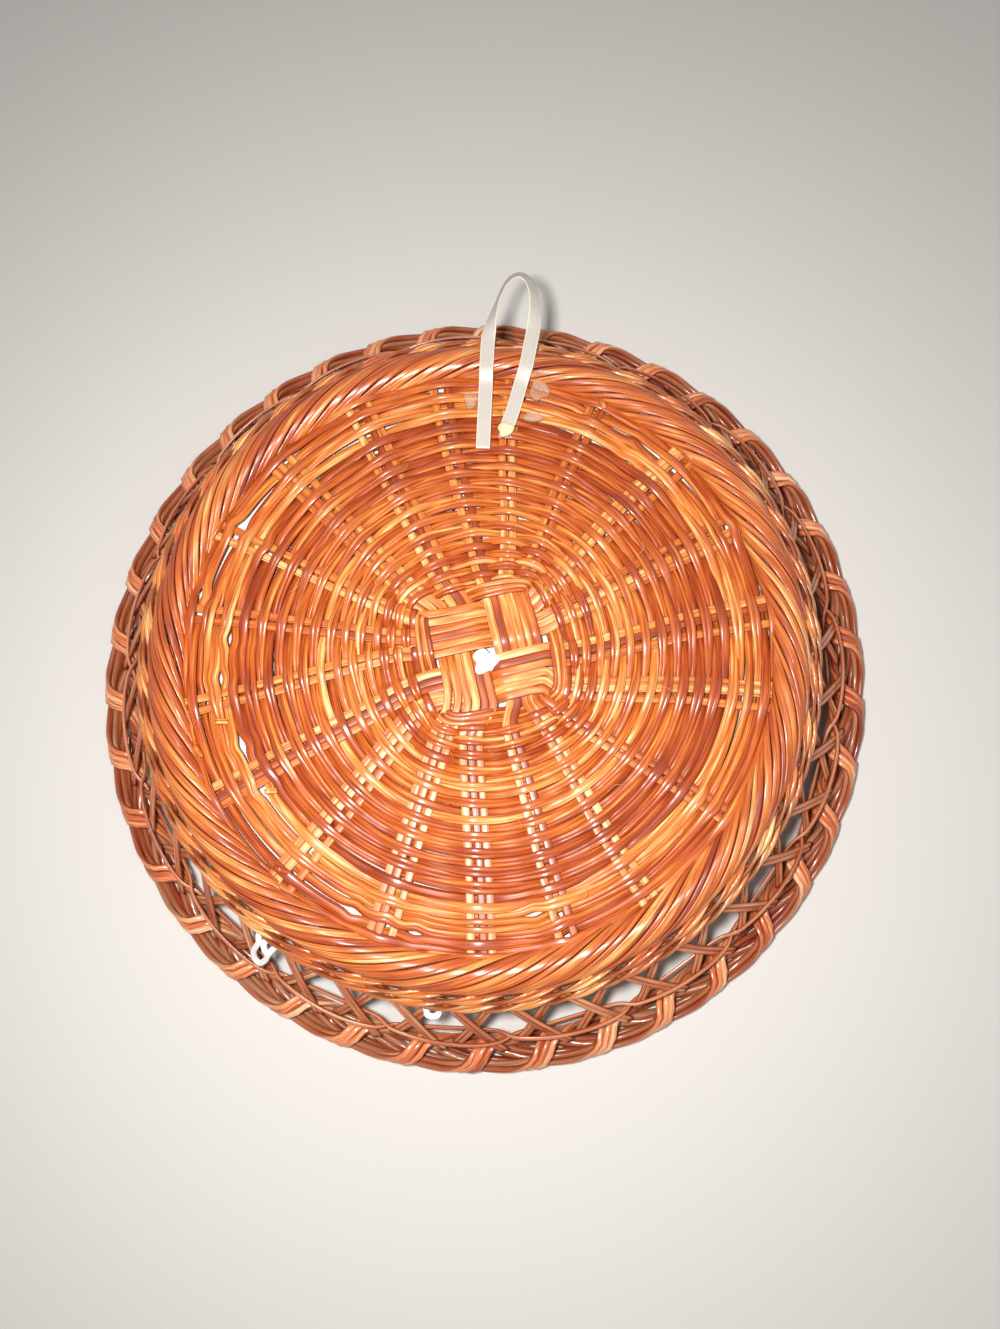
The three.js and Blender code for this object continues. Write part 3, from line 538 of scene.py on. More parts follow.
# Spoke reeds, 24 flat lengths of split rattan in four bundles of six. The bundles interlace in a
# square with a small eye, and each arm then fans into two or three spokes. The reeds are dyed
# before they are woven and varnished afterwards, so no two are quite the same colour.
base_level = 0.0440
bundle_reeds = 6
spoke_width = 0.00276
spoke_thickness = 0.0013
lane_step = 0.00272
bundle_clearance = 0.0003
eye_size = 0.0033
centre_turn = math.radians(13)
centre_shift = np.array([0.0047, -0.0004])
cross_lift = 0.00088
bend_clearance = 0.0004
fan_radius = 0.0290
spoke_end = 0.1020
spoke_angles = np.radians(
    [7.5, 26.1, 43.9, 64, 82, 97.9, 115.8, 135.9, 153.9, 171.7]
    + [191.3, 210.5, 231, 251.7, 271, 287.4, 304.7, 326.2, 350.4]
)
spoke_count = len(spoke_angles)

# How far each spoke strays sideways, to its left, just past the centre square
spoke_stray = np.array(
    [-2.3, -1.9, -2.9, -3.8, -4.4, -2.5, -1.0, 0, 0, 0.6, -0.9, 1.2, -1.1, 0, -1.2, 0.4, 3.3, -0.8]
    + [-2.6]
) / 1000
spoke_parting = chance.uniform(0.0012, 0.0030, spoke_count)
bundle_width = bundle_reeds * lane_step - bundle_clearance
bundle_offset = (bundle_width + eye_size) / 2
block_edge = bundle_offset + bundle_width / 2


def varnished_rattan(name, codes, gloss=0.2, coat=1.0, splits=0.75, lines=6, rubbed=None):
    """Split rattan, dyed and varnished. Its fibres run with the reed, so streaks are drawn on the
    UV map, far finer across than along. Its two edges and its underside are painted darker, as
    painted shade where the reeds lie against one another, and thin dark lines run along it
    between the edges: splits is how dark the lines are. The varnish is a coat over the colour,
    and where a rubbed level is given it is bright only above that height."""
    material, tree, surface = new_material(
        name, Specular_IOR_Level=0.15, Coat_Weight=coat, Coat_Roughness=gloss, Coat_IOR=1.4
    )
    tint = add(tree, "Attribute", attribute_name="tint").outputs["Fac"]
    place = add(tree, "UVMap").outputs["UV"]
    noises = {}
    for grain, scale in {"streak": (12, 60, 1), "slow": (1.3, 24, 1), "fibre": (13, 12, 1)}.items():
        stretched = add(tree, "Mapping", {"Vector": place, "Scale": scale})
        noise = add(tree, "TexNoise", {"Vector": stretched.outputs[0], "Scale": 1, "Detail": 2})
        noises[grain] = noise.outputs["Fac"]
    share = tint
    for grain, strength in {"streak": 1.5, "slow": 0.9}.items():
        centred = maths(tree, "SUBTRACT", noises[grain], 0.5)
        share = maths(tree, "MULTIPLY_ADD", centred, strength, share)
    colour = shades_of(tree, share, codes)
    round_share = add(tree, "SeparateXYZ", {"Vector": place}).outputs["X"]
    waves = maths(tree, "MULTIPLY_ADD", round_share, lines, noises["fibre"])
    line = ranged(tree, maths(tree, "FRACT", waves), 0.0, 0.28, splits, 0.0)
    # Painted shade: the flanks and underside of each reed's section, where it lies against its neighbours, mix up to
    # 0.7 of the way toward the dark brown
    side = maths(tree, "COSINE", maths(tree, "MULTIPLY", round_share, 2 * math.pi))
    edge = ranged(tree, side, -0.65, -0.1, 0.0, 0.7)
    # The dark rust brown serves both the thin lines along the reed and the painted shade on its flanks
    colour = mixed(tree, maths(tree, "MAXIMUM", line, edge), colour, linear("#6a1f08"))
    tree.links.new(colour, surface.inputs["Base Color"])
    if rubbed:
        height = add(tree, "SeparateXYZ", {"Vector": add(tree, "TexCoord").outputs["Object"]})
        worn = ranged(tree, height.outputs["Z"], rubbed, rubbed + 0.0008, 0.1, coat)
        tree.links.new(worn, surface.inputs["Coat Weight"])
    rough = ranged(tree, noises["streak"], 0.0, 1.0, 0.25, 0.5)
    tree.links.new(rough, surface.inputs["Roughness"])
    emboss(tree, surface, noises["fibre"], 0.5, 0.0002, sockets=("Normal", "Coat Normal"))
    return material


def fading(r, start, stop):
    """Fall smoothly from 1 at start to 0 at stop: 1 - 3 t^2 + 2 t^3."""
    t = np.clip((r - start) / (stop - start), 0, 1)
    return 1 - t * t * (3 - 2 * t)


def turned(x, y):
    """Turn plan points with the centre square."""
    c, s = math.cos(centre_turn), math.sin(centre_turn)
    return np.stack([c * x - s * y, s * x + c * y], -1)


def strayed(plan, spoke):
    """Shift plan points of a spoke's reeds. The square was begun off the basket's middle, which
    fades from 17 to 30 mm out. There each spoke strays, and it is back on its line at 80 mm."""
    r = np.linalg.norm(plan, axis=-1)[..., None]
    left = np.array([-math.sin(spoke_angles[spoke]), math.cos(spoke_angles[spoke])])
    bend = (1 - fading(r, 0.018, 0.029)) * fading(r, 0.034, 0.080)
    return plan + centre_shift * fading(r, 0.017, 0.030) + left * spoke_stray[spoke] * bend


def parted(spoke, r):
    """How far apart a spoke's reeds have parted in two at a radius: evenly more from the fan."""
    return spoke_parting[spoke] * np.clip((r - fan_radius) / (spoke_end - fan_radius), 0, 1)


def fan_of(along, across, offset):
    """Share an arm's six reeds among the spokes in its eighth of the circle. Each group turns
    past the block's edge to its own spoke's angle, the outermost group first."""
    aim = along * block_edge + across * offset
    eighth = int(math.degrees(math.atan2(aim[1], aim[0])) % 360 // 45)
    inside = spoke_angles - centre_turn
    own = np.flatnonzero(np.degrees(inside) % 360 // 45 == eighth)
    aims = {k: np.array([math.cos(inside[k]), math.sin(inside[k])]) for k in own}
    own = sorted(own, key=lambda k: aims[k] @ across)
    groups = []
    for s, spoke in enumerate(own):
        lanes = [lane for lane in range(bundle_reeds) if lane * len(own) // bundle_reeds == s]
        middle = sum(lanes) / len(lanes)
        lateral = offset + (middle - (bundle_reeds - 1) / 2) * lane_step
        far = aims[spoke] * spoke_end
        turn = math.atan2(far @ across - lateral, far @ along - block_edge)
        groups.append(
            {"lanes": lanes, "middle": middle, "lateral": lateral, "turn": turn, "spoke": spoke}
        )
    left, right = [g for g in groups if g["turn"] > 0], [g for g in groups if g["turn"] <= 0]
    for outermost_first in (left[::-1], right):
        free = block_edge + bend_clearance
        for group in outermost_first:
            slant = math.tan(abs(group["turn"]) / 2)
            reach = (len(group["lanes"]) - 1) / 2 * lane_step * slant
            group["start"] = free + reach
            free += 2 * reach + lane_step * slant
    return groups, eighth


# Each bundle: its direction, the direction that its reeds lie side by side in, how far that way
# its middle lies from the centre, and the shades of its reeds
bundles = {
    "upper": ((1, 0), (0, 1), bundle_offset, [0.62, 0.70, 0.42, 0.46, 0.86, 0.66]),
    "lower": ((1, 0), (0, 1), -bundle_offset, [0.50, 0.84, 0.66, 0.52, 0.06, 0.80]),
    "right": ((0, 1), (1, 0), bundle_offset, [0.72, 0.14, 0.70, 0.80, 0.50, 0.34]),
    "left": ((0, 1), (1, 0), -bundle_offset, [0.66, 0.56, 0.70, 0.82, 0.08, 0.60]),
}
golden = ["#883413", "#ab491a", "#c46427", "#da8940", "#eebd7c"]
spoke_rattan = varnished_rattan(
    "varnished_spoke_rattan", golden, gloss=0.3, coat=0.65, splits=0.9, lines=8
)
spoke_lines = []
for name, (along, across, offset, tints) in bundles.items():
    along, across = np.array(along, float), np.array(across, float)
    arms = []
    for ahead in (-along, along):
        groups, eighth = fan_of(ahead, across, offset)
        arms.append((ahead, groups, cross_lift if eighth % 2 else -cross_lift))
        for group in groups:
            heading = ahead * math.cos(group["turn"]) + across * math.sin(group["turn"])
            start = ahead * group["start"] + across * group["lateral"]
            line = start + heading * np.linspace(-0.004, 0.086, 240)[:, None]
            line = strayed(turned(line[:, 0], line[:, 1]), group["spoke"])
            r = np.linalg.norm(line, axis=1)
            half = len(group["lanes"]) * lane_step / 2 + parted(group["spoke"], r) / 2
            spoke_lines.append((line, half, eighth))
    for lane in range(bundle_reeds):
        sideways = offset + (lane - (bundle_reeds - 1) / 2) * lane_step
        halves = []
        for ahead, groups, level in arms:
            group = next(g for g in groups if lane in g["lanes"])
            aside = (lane - group["middle"]) * lane_step
            heading = ahead * math.cos(group["turn"]) + across * math.sin(group["turn"])
            square = across * math.cos(group["turn"]) - ahead * math.sin(group["turn"])
            middle = ahead * group["start"] + across * group["lateral"] + square * aside
            mitre = group["start"] - aside * math.tan(group["turn"] / 2)
            corners = [
                (*(ahead * eye_size / 2 + across * sideways), level),
                (*(ahead * mitre + across * sideways), level),
            ]
            for radius in (fan_radius, spoke_end):
                forth = middle @ heading
                reach = math.sqrt(radius**2 - middle @ middle + forth**2) - forth
                first = lane - group["lanes"][0] <= group["spoke"] % 2 * (len(group["lanes"]) - 2)
                apart = square * parted(group["spoke"], radius) * (-0.5 if first else 0.5)
                corners.append((*(middle + heading * reach + apart), 0.0))
            halves.append(corners)
        route = soft_route(halves[0][::-1] + halves[1], steps=150, softness=0.014)
        plan = turned(route[:, 0], route[:, 1])
        half = len(plan) // 2
        spokes = [next(g for g in arm[1] if lane in g["lanes"])["spoke"] for arm in arms]
        plan = np.concatenate([strayed(plan[:half], spokes[0]), strayed(plan[half:], spokes[1])])
        route = np.concatenate([plan, route[:, 2:] + base_level], 1)
        reed = carry_section(
            route[None], straight_up, spoke_width, spoke_thickness, [tints[lane]], sides=12,
            square=0.34,
        )
        slot = "red_reed" if lane % 3 == 1 else "pale_reed"
        stands_for = [f"spoke_reed_{name}_{lane + 1}"]
        make_piece(f"{name}_reed_{lane + 1}", [reed], spoke_rattan, slot, stands_for)


# The weave of the base, 31 rounds of thin reed, mostly laid double. It passes over one spoke and
# under the next, and because the spokes are odd in number each round passes over where the last
# passed under. The first rounds pass over whole arms of the centre, in long floats.
rounds = 31
arm_rounds = 2
first_radius = 0.0190
first_pitch = 0.00238
pitch_growth = 0.0000224
weaver_thickness = 0.0013
weaver_rise = (spoke_thickness + weaver_thickness) / 2 + 0.0001
weaver_square = 0.75
weaver_drift = 0.0004
flank_reach = 0.0030
widest_flank = math.radians(8.5)
round_samples = spoke_count * 22


def weave_radius(turns, angle):
    """Radius of the weave: it grows by 2.4 mm a turn at first and by 3.1 mm at last, and starts
    nearly square, (cos^8 + sin^8)^(-1/8), which fades with the turns."""
    side = first_radius + first_pitch * turns + pitch_growth / 2 * turns**2
    square = (np.cos(angle) ** 8 + np.sin(angle) ** 8) ** (-1 / 8)
    return side * (1 + (square - 1) * np.exp(-turns / 4))


def round_shift(r):
    """The rounds start about the centre square and end about the basket's middle."""
    return centre_shift * np.clip((0.100 - r) / 0.080, 0, 1)[..., None]


def meeting(line, half, n):
    """Where round n crosses a spoke's line: its angle in the turned frame, half the angle that
    the spoke takes up, and the radius there."""
    about = line - round_shift(np.linalg.norm(line, axis=1))
    r = np.linalg.norm(about, axis=1)
    angle = (np.arctan2(about[:, 1], about[:, 0]) - centre_turn) % (2 * math.pi)
    gap = r - weave_radius(n + angle / (2 * math.pi), angle)
    i = int(np.argmax(gap > 0))
    return angle[i], half[i] / r[i], r[i]


# Each crossing sets the height of the weave at five places, from flank to flank
knots, heights, under = [], [], []
over = False
for n in range(rounds):
    crossings = []
    for e in range(8):
        found = [meeting(line, half, n) for line, half, eighth in spoke_lines if eighth == e]
        if n < arm_rounds:
            low, high = min(a - h for a, h, _ in found), max(a + h for a, h, _ in found)
            crossings.append(((low + high) / 2, (high - low) / 2, found[0][2], e))
        else:
            crossings += [(*meet, e) for meet in found]
    for angle, half, radius, e in sorted(crossings):
        over = e % 2 == 1 if n < arm_rounds else not over
        fade = np.clip((fan_radius - radius) / (fan_radius - block_edge), 0, 1)
        level = cross_lift * fade * (1 if e % 2 else -1)
        turns = n + angle / (2 * math.pi)
        flank = max(min(half + flank_reach / radius, widest_flank), half * 1.05)
        for aside, share in (
            (-flank, 0.2), (-half * 0.8, 0.85), (0, 1.2), (half * 0.8, 0.85), (flank, 0.2)
        ):
            knots.append(turns + aside / (2 * math.pi))
            heights.append(level + (weaver_rise if over else -weaver_rise) * share)
        if not over:
            under.append(turns)
turns = np.arange(rounds * round_samples + 1) / round_samples
rise = np.interp(turns, np.maximum.accumulate(knots), heights)
soften = np.hanning(8)[1:-1]
rise = np.convolve(np.pad(rise, (2, 3), "edge"), soften / soften.sum(), "valid")

# Each round strays a little from an even spiral, and takes after the round inside it
stray = np.zeros((rounds + 1, spoke_count))
for n in range(1, rounds + 1):
    fresh = chance.normal(0, 1, spoke_count)
    fresh = (np.roll(fresh, 1) + 2 * fresh + np.roll(fresh, -1)) / 4
    stray[n] = 0.72 * stray[n - 1] + (0.0003 + 0.0006 * (n / rounds) ** 2) * fresh
stray = np.interp(turns * spoke_count, np.arange(stray.size), stray.ravel())
soften = np.hanning(19)[1:-1]
stray = np.convolve(np.pad(stray, 8, "edge"), soften / soften.sum(), "valid")
angle = 2 * np.pi * turns
radius = weave_radius(turns, angle)


def angle_from(degrees):
    """How far the weave's angle is past a plan angle, from -pi to pi."""
    return (angle + centre_turn - math.radians(degrees) + math.pi) % (2 * math.pi) - math.pi


# Beside some spokes of the outer rounds two reeds stand apart, and the white lace shows through.
# Each place is given by its radius in millimetres and its angle in degrees.
gap_push = 0.0014
gap_reach = 0.0040
gap_length = 0.0028
for gap_radius, gap_angle in (
    (97, 168), (86, 177), (88, 186), (85, 202), (85, 213), (95, 152), (85, 153), (95, 245),
    (95, 252), (95, 258), (88, 282), (97, 288), (88, 326), (91, 54), (83, 52), (98, 67), (97, 26),
):
    off = radius - gap_radius / 1000
    stray += gap_push * np.tanh(off / 0.0004) * np.exp(
        -np.abs(off) / gap_reach - (angle_from(gap_angle) * radius / gap_length) ** 2
    )
pitch = first_pitch + pitch_growth * turns
crest = np.clip(np.abs(rise) / weaver_rise, 0, 1) ** 2

# Some rounds were woven from paler or darker reeds, and one dark length lies below the centre
band = np.zeros(len(turns))
for strength, middle, reach in (
    (0.24, 0.0425, 0.0018), (0.20, 0.0870, 0.0030), (-0.15, 0.0640, 0.0050)
):
    band += strength * np.exp(-(((radius - middle) / reach) ** 2))
band -= 0.5 * np.exp(-(((radius - 0.0395) / 0.0013) ** 2) - (angle_from(-64) / 0.09) ** 4)


def weaver_lengths(first, last, gaps):
    """Cut a strand of the weave into lengths that start and end under a spoke, from over half a
    round to nearly two. With gaps, some are left out, where the other strand runs alone."""
    ends = [t for t in under if first <= t <= last]
    lengths, i = [], 0
    while i < len(ends) - 1:
        j = min(i + int(chance.integers(6, 18)), len(ends) - 1)
        if not gaps or chance.random() < 0.62:
            lengths.append((ends[i], ends[j]))
        i = j
    return lengths


weave_rattan = varnished_rattan("varnished_weave_rattan", golden, rubbed=0.0451)
cuts = [min(under, key=lambda t: abs(t - cut)) for cut in (0.0, 12.6, 21.6, 31.0)]
for piece in range(3):
    doubles = weaver_lengths(cuts[piece], cuts[piece + 1], True)
    singles = weaver_lengths(cuts[piece], cuts[piece + 1], False)
    doubled = np.zeros(len(turns))
    for start, stop in doubles:
        doubled[(turns > start) & (turns < stop)] = 1
    kernel = np.hanning(25)[1:-1]
    doubled = np.convolve(np.pad(doubled, 11, "edge"), kernel / kernel.sum(), "valid")
    parts = []
    for lengths, side in ((singles, -1), (doubles, 1)):
        for start, stop in lengths:
            here = (turns >= start) & (turns <= stop)
            share, a = doubled[here], angle[here]
            r = radius[here] + stray[here] * np.minimum(turns[here] / 4, 1)
            thickness = weaver_thickness * chance.uniform(0.9, 1.15)
            wide = pitch[here] * (1.12 - 0.42 * share) * chance.uniform(0.94, 1.06)
            r = r + side * share * pitch[here] * (0.22 + 0.08 * crest[here])
            drift = np.sin(turns[here] * 2 * math.pi * chance.uniform(2, 5) + chance.uniform(0, 6))
            r = r + drift * weaver_drift * np.clip((r - 0.06) / 0.03, 0, 1)
            plan = turned(r * np.cos(a), r * np.sin(a)) + round_shift(r)
            route = np.concatenate([plan, rise[here, None] + base_level], 1)
            tint = np.clip(0.44 + chance.normal(0, 0.15) + band[here], 0.04, 0.95)
            parts.append(carry_section(route[None], straight_up, wide, thickness, tint, sides=12,
                                       square=weaver_square))
    make_piece(f"weave_{piece + 1}", parts, weave_rattan, "golden_reed", [f"weaver_{piece + 1}"])


# Foot border, the rolled ring that ends the base. Each of its 38 strands is three thin reeds laid
# side by side. It comes up at the inner edge, sweeps clockwise over the top in 28 degrees and
# goes down at the outer edge. The fan is how far round a reed starts for each metre it is aside.
strands = 38
stake_pairs = strands // 2
strand_width = 0.0060
strand_sweep = math.radians(28)
strand_thickness = 0.00125
strand_fan = math.radians(1788)
ring_middle = 0.1058
ring_level = 0.0427
ring_out = 0.0056
ring_up = 0.0040
ring_hump = 0.0009


def beside(route, rise, aside, lifted=0.0, closed=False):
    """Shift routes sideways and upwards along the axes that a section would have there."""
    side, lift = axes_along(route, rise, closed)
    return route + side * np.asarray(aside)[..., None] + lift * np.asarray(lifted)[..., None]


def around(radius, angle, z):
    """Points from a radius, an angle round the basket and a height."""
    return np.stack([radius * np.cos(angle), radius * np.sin(angle), z], -1)


def outward(angle, out, up):
    """Directions that point out by one share and up by the other."""
    return around(out, angle, up)


border_rattan = varnished_rattan("varnished_border_rattan", golden, gloss=0.24)
roll = np.radians(np.linspace(200, -20, 46))
begin = np.arange(strands)[:, None] * 2 * np.pi / strands
begin = begin + np.radians(chance.normal(0, 0.4, (strands, 1)))
widths = chance.uniform(0.7, 1.4, (3, strands, 1))
widths *= strand_width / widths.sum(0)
hump = ring_hump * np.exp(-((np.degrees(roll) - 105) / 28) ** 2)
parts = []
for reed in range(3):
    aside = widths[:reed].sum(0) + widths[reed] / 2
    place = begin + strand_fan * aside + (roll - math.pi) * strand_sweep / math.pi
    bulge = (0.0, 0.0005, 0.0002)[reed] + chance.uniform(0, 0.0002, (strands, 1))
    route = around(
        ring_middle + (ring_out + bulge) * np.cos(roll), place,
        ring_level + (ring_up + bulge) * np.sin(roll) + hump,
    )
    rise_to = outward(place, np.cos(roll) * 0.85 + 0 * place, np.sin(roll) + 0 * place)
    tint = 0.46 + chance.normal(0, 0.14, strands)
    parts.append(carry_section(route, rise_to, widths[reed] * 1.03, strand_thickness,
                               np.clip(tint, 0.06, 0.95), sides=12, square=0.45))
make_piece("foot_border_reeds", parts, border_rattan, "golden_reed", ["foot_border"])


# Waling, two roped rows under the foot border. Each row is two strands of two reeds, twisted
# round one another once in every two stakes, and it binds the tops of the stakes.
waling_width = 0.0017
waling_thickness = 0.0013
waling_spacing = 0.00156


def roped_row(radius, level, out, up):
    """A strand's middle goes round the row's middle as it goes round the basket: it is further
    out by out cos t and higher by up sin t, with t = 19 times the angle."""
    a = np.linspace(0, 2 * np.pi, stake_pairs * 28, endpoint=False)[None]
    for strand in range(2):
        t = stake_pairs * a + math.pi * strand
        route = around(radius + out * np.cos(t), a, level + up * np.sin(t))
        rise_to = outward(a, np.cos(t), np.sin(t))
        for aside in (-waling_spacing / 2, waling_spacing / 2):
            tint = 0.62 + chance.normal(0, 0.1) + 0.12 * np.sin(np.floor(t / math.pi) * 1.9 + aside)
            yield carry_section(
                beside(route, rise_to, aside, closed=True), rise_to, waling_width,
                waling_thickness, tint, closed=True,
            )


make_piece("upper_waling_reeds", list(roped_row(0.1132, 0.0416, out=0.0012, up=0.0015)),
           border_rattan, "golden_reed")
make_piece("lower_waling_reeds", list(roped_row(0.1161, 0.0376, out=0.0011, up=0.0015)),
           border_rattan, "golden_reed")


# Side stakes, 38 that lean each way and cross in an open lattice. Each stake is two flat reeds
# side by side, held by the waling above, the twined pair and the rim below. The wall faces out
# and up by the two shares, and its routes are given as radius and height.
side_out, side_up = 0.837, 0.547
stake_lean = math.radians(8)
lean_level = 0.0100
stake_thickness = 0.0010
stake_spacing = 0.00184
brown = ["#86381d", "#b9562f", "#d77844", "#e79967", "#f2be91"]
side_rattan = varnished_rattan("varnished_side_rattan", brown, coat=0.6)
for direction, corners in {
    1: [(0.1154, 0.0378), (0.1162, 0.03655), (0.13397, 0.00935), (0.1352, 0.0074)],
    -1: [(0.1124, 0.0412), (0.1130, 0.0376), (0.13097, 0.01075), (0.1325, 0.0082)],
}.items():
    stake = soft_route([(r, 0, z) for r, z in corners], steps=26, softness=0.04)
    radius, level = stake[:, 0], stake[:, 2]
    share = np.clip((level[0] - level) / (level[0] - lean_level), 0, 1.1)
    lean = direction * stake_lean * share
    a = np.arange(strands)[:, None] * 2 * np.pi / strands + lean
    a = a + np.radians(chance.normal(0, 0.25, (strands, 1))) * share
    route = around(radius + 0 * a, a, level + 0 * a)
    rise_to = outward(a, side_out + 0 * a, side_up + 0 * a)
    parts = []
    for aside in (-stake_spacing / 2, stake_spacing / 2):
        tint = np.clip(0.5 + chance.normal(0, 0.12, strands), 0.1, 0.95)
        width = chance.uniform(0.00165, 0.00185, (strands, 1))
        parts.append(carry_section(beside(route, rise_to, aside), rise_to, width, stake_thickness,
                                   tint, square=0.6))
    name = "right_leaning_stakes" if direction == 1 else "left_leaning_stakes"
    make_piece(f"{name}_reeds", parts, side_rattan, "brown_reed", [name])


# Twined pair, one flat reed that goes twice round just above the rim. It arcs over four stakes
# outside, goes in between two stakes, and passes behind the next four.
twine_radius = 0.1291
twine_level = 0.0152
twine_start = math.radians(9.21)
twine_depth = 0.00288
twine_spread = 0.00128
twine_width = 0.0021
twine_thickness = 0.0011
a = np.linspace(0, 4 * np.pi, strands * 22, endpoint=False)[None]
u = (a - twine_start) / math.radians(360 / stake_pairs)
away = twine_depth * np.sign(np.sin(np.pi * u)) * np.abs(np.sin(np.pi * u)) ** 0.45
along = -twine_spread * np.cos(np.pi * u)
route = around(
    twine_radius + side_out * away + side_up * along, a,
    twine_level + side_up * away - side_out * along,
)
route = (np.roll(route, 1, 1) + 2 * route + np.roll(route, -1, 1)) / 4
twine_rattan = varnished_rattan("varnished_twine_rattan", brown)
tint = 0.5 + 0.1 * np.sin(np.floor(u) * 2.3)
rise_to = outward(a, side_out + 0 * a, side_up + 0 * a)
twine = carry_section(route, rise_to, twine_width, twine_thickness, tint, closed=True)
make_piece("twined_reeds", [twine], twine_rattan, "golden_reed", ["twined_pair"])


# Rim border, a three-strand rope. One bundle of five reeds goes three times round: from the
# floor it swings out, up over the top, and in. Each of its 38 turns is the end of another stake,
# so the shades change where they are hidden underneath.
rim_middle = 0.13625
rim_level = 0.00452
rim_out = 0.0043
rim_up = 0.0034
rim_thickness = 0.0019
a = np.linspace(0, 6 * np.pi, strands * 30, endpoint=False)[None]
phase = a * strands / 3
phase = phase - 0.8 * np.sin(phase) + 0.2 * np.sin(2 * phase)
swing = np.sin(phase) * np.sqrt(1.5 / (0.5 + np.sin(phase) ** 2))
route = around(rim_middle + rim_out * swing, a, rim_level - rim_up * np.cos(phase))
rise_to = outward(a, rim_out * swing, -rim_up * np.cos(phase))
rim_rattan = varnished_rattan("varnished_rim_rattan", brown, splits=0.35)
turn_of = np.floor(phase / (2 * np.pi) + 1e-6).astype(int) % strands

# The reeds of the bundle: how far each lies aside and up from its middle, and its width
parts = []
for aside, lifted, width in (
    (-0.0022, 0.0008, 0.0024), (0.0, 0.0011, 0.0024), (0.0022, 0.0008, 0.0024),
    (-0.0011, -0.0010, 0.0023), (0.0011, -0.0010, 0.0023),
):
    tint = (0.56 + chance.normal(0, 0.16, strands))[turn_of]
    drift = 0.00022 * np.sin(phase * 0.31 + aside * 4000)
    shifted = beside(route, rise_to, aside + drift, lifted + 0 * phase, closed=True)
    reed = carry_section(
        shifted, rise_to, width, rim_thickness, np.clip(tint, 0.08, 0.92), closed=True
    )
    reed[0][:, 2] = np.maximum(reed[0][:, 2], 0)
    parts.append(reed)
make_piece("rim_border_reeds", parts, rim_rattan, "brown_reed", ["rim_border"])


# Doily, a 250 mm round of white cotton lace. It lines the front of the base and turns down inside
# the openwork, with a scalloped edge. From the back it shows only through gaps and the openwork.
doily_radius = 0.1250
lace_thickness = 0.0005
scallops = 24
scallop_start = 0.1130
scallop_depth = 0.18
open_from = 0.045
plain_ring = 0.0885
plain_reach = 0.0105
eye_middle = (0.0030, -0.0040)
eye_rise = 0.0066
spokes_of_lace = 288
s = np.concatenate(
    [np.linspace(0.0002, 0.012, 20), np.arange(0.0138, doily_radius, 0.0018), [doily_radius]]
)
a = np.arange(spokes_of_lace) * 2 * np.pi / spokes_of_lace
scallop = 1 - scallop_depth * (1 - np.abs(np.sin(scallops / 2 * a)))
flat_s = s[:, None] + 0 * a
flat_s = np.where(
    flat_s > scallop_start, scallop_start + (flat_s - scallop_start) * scallop, flat_s
)

# The lace's profile: the distance from its middle on the flat cloth, the radius and the height
profile = np.array([(0, 0.0, 0.03978), (0.1065, 0.1065, 0.03978), (0.1109, 0.1100, 0.0371),
                    (doily_radius, 0.1177, 0.0253)])
radius = np.interp(flat_s, profile[:, 0], profile[:, 1])
level = np.interp(flat_s, profile[:, 0], profile[:, 2])
ripple = np.sin(a * scallops + 1) * np.clip((flat_s - 0.11) / 0.015, 0, 1)
points = around(radius + 0.0007 * ripple, a + 0 * radius, level).reshape(-1, 3)

# A lump of it is pushed up through the eye of the centre square
from_eye = points[:, :2] - eye_middle
about = np.arctan2(from_eye[:, 1], from_eye[:, 0])
lumps = 1 + 0.2 * np.sin(3 * about + 1.2) + 0.1 * np.sin(5 * about)
points[:, 2] += eye_rise * fading(np.linalg.norm(from_eye, axis=1) / lumps, 0.0034, 0.0052)

# Every third mesh of every second ring is a hole, but for the middle, the edge and a plain ring
ring, spoke = np.indices((len(s) - 1, spokes_of_lace))
hole = (s[:-1, None] > open_from) & (ring % 2 == 1) & (spoke % 3 == 1) & (ring < len(s) - 3)
hole &= np.abs(s[:-1, None] - plain_ring) > plain_reach
here = ring * spokes_of_lace + spoke
beside_it = ring * spokes_of_lace + (spoke + 1) % spokes_of_lace
quads = np.stack([here, here + spokes_of_lace, beside_it + spokes_of_lace, beside_it], -1)[~hole]
lace, tree, surface = new_material("cotton_lace", Roughness=0.85, Sheen_Weight=0.3)
place = add(tree, "TexCoord").outputs["Object"]
knit = add(tree, "TexVoronoi", {"Vector": place, "Scale": 1600.0})
tree.links.new(shades_of(tree, knit.outputs["Distance"], ["#fbf9f5", "#e4dfd6"]),
               surface.inputs["Base Color"])
emboss(tree, surface, knit.outputs["Distance"], strength=0.6, distance=0.0002)
doily = mesh_piece("doily", points, quads.ravel(), np.arange(len(quads)) * 4, lace)
solidify = doily.modifiers.new("thickness", "SOLIDIFY")
solidify.thickness = lace_thickness
solidify.offset = 0
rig.ride(doily, "basket")
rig.slot(doily, "white_lace")
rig.replaces(doily, "lace_doily")


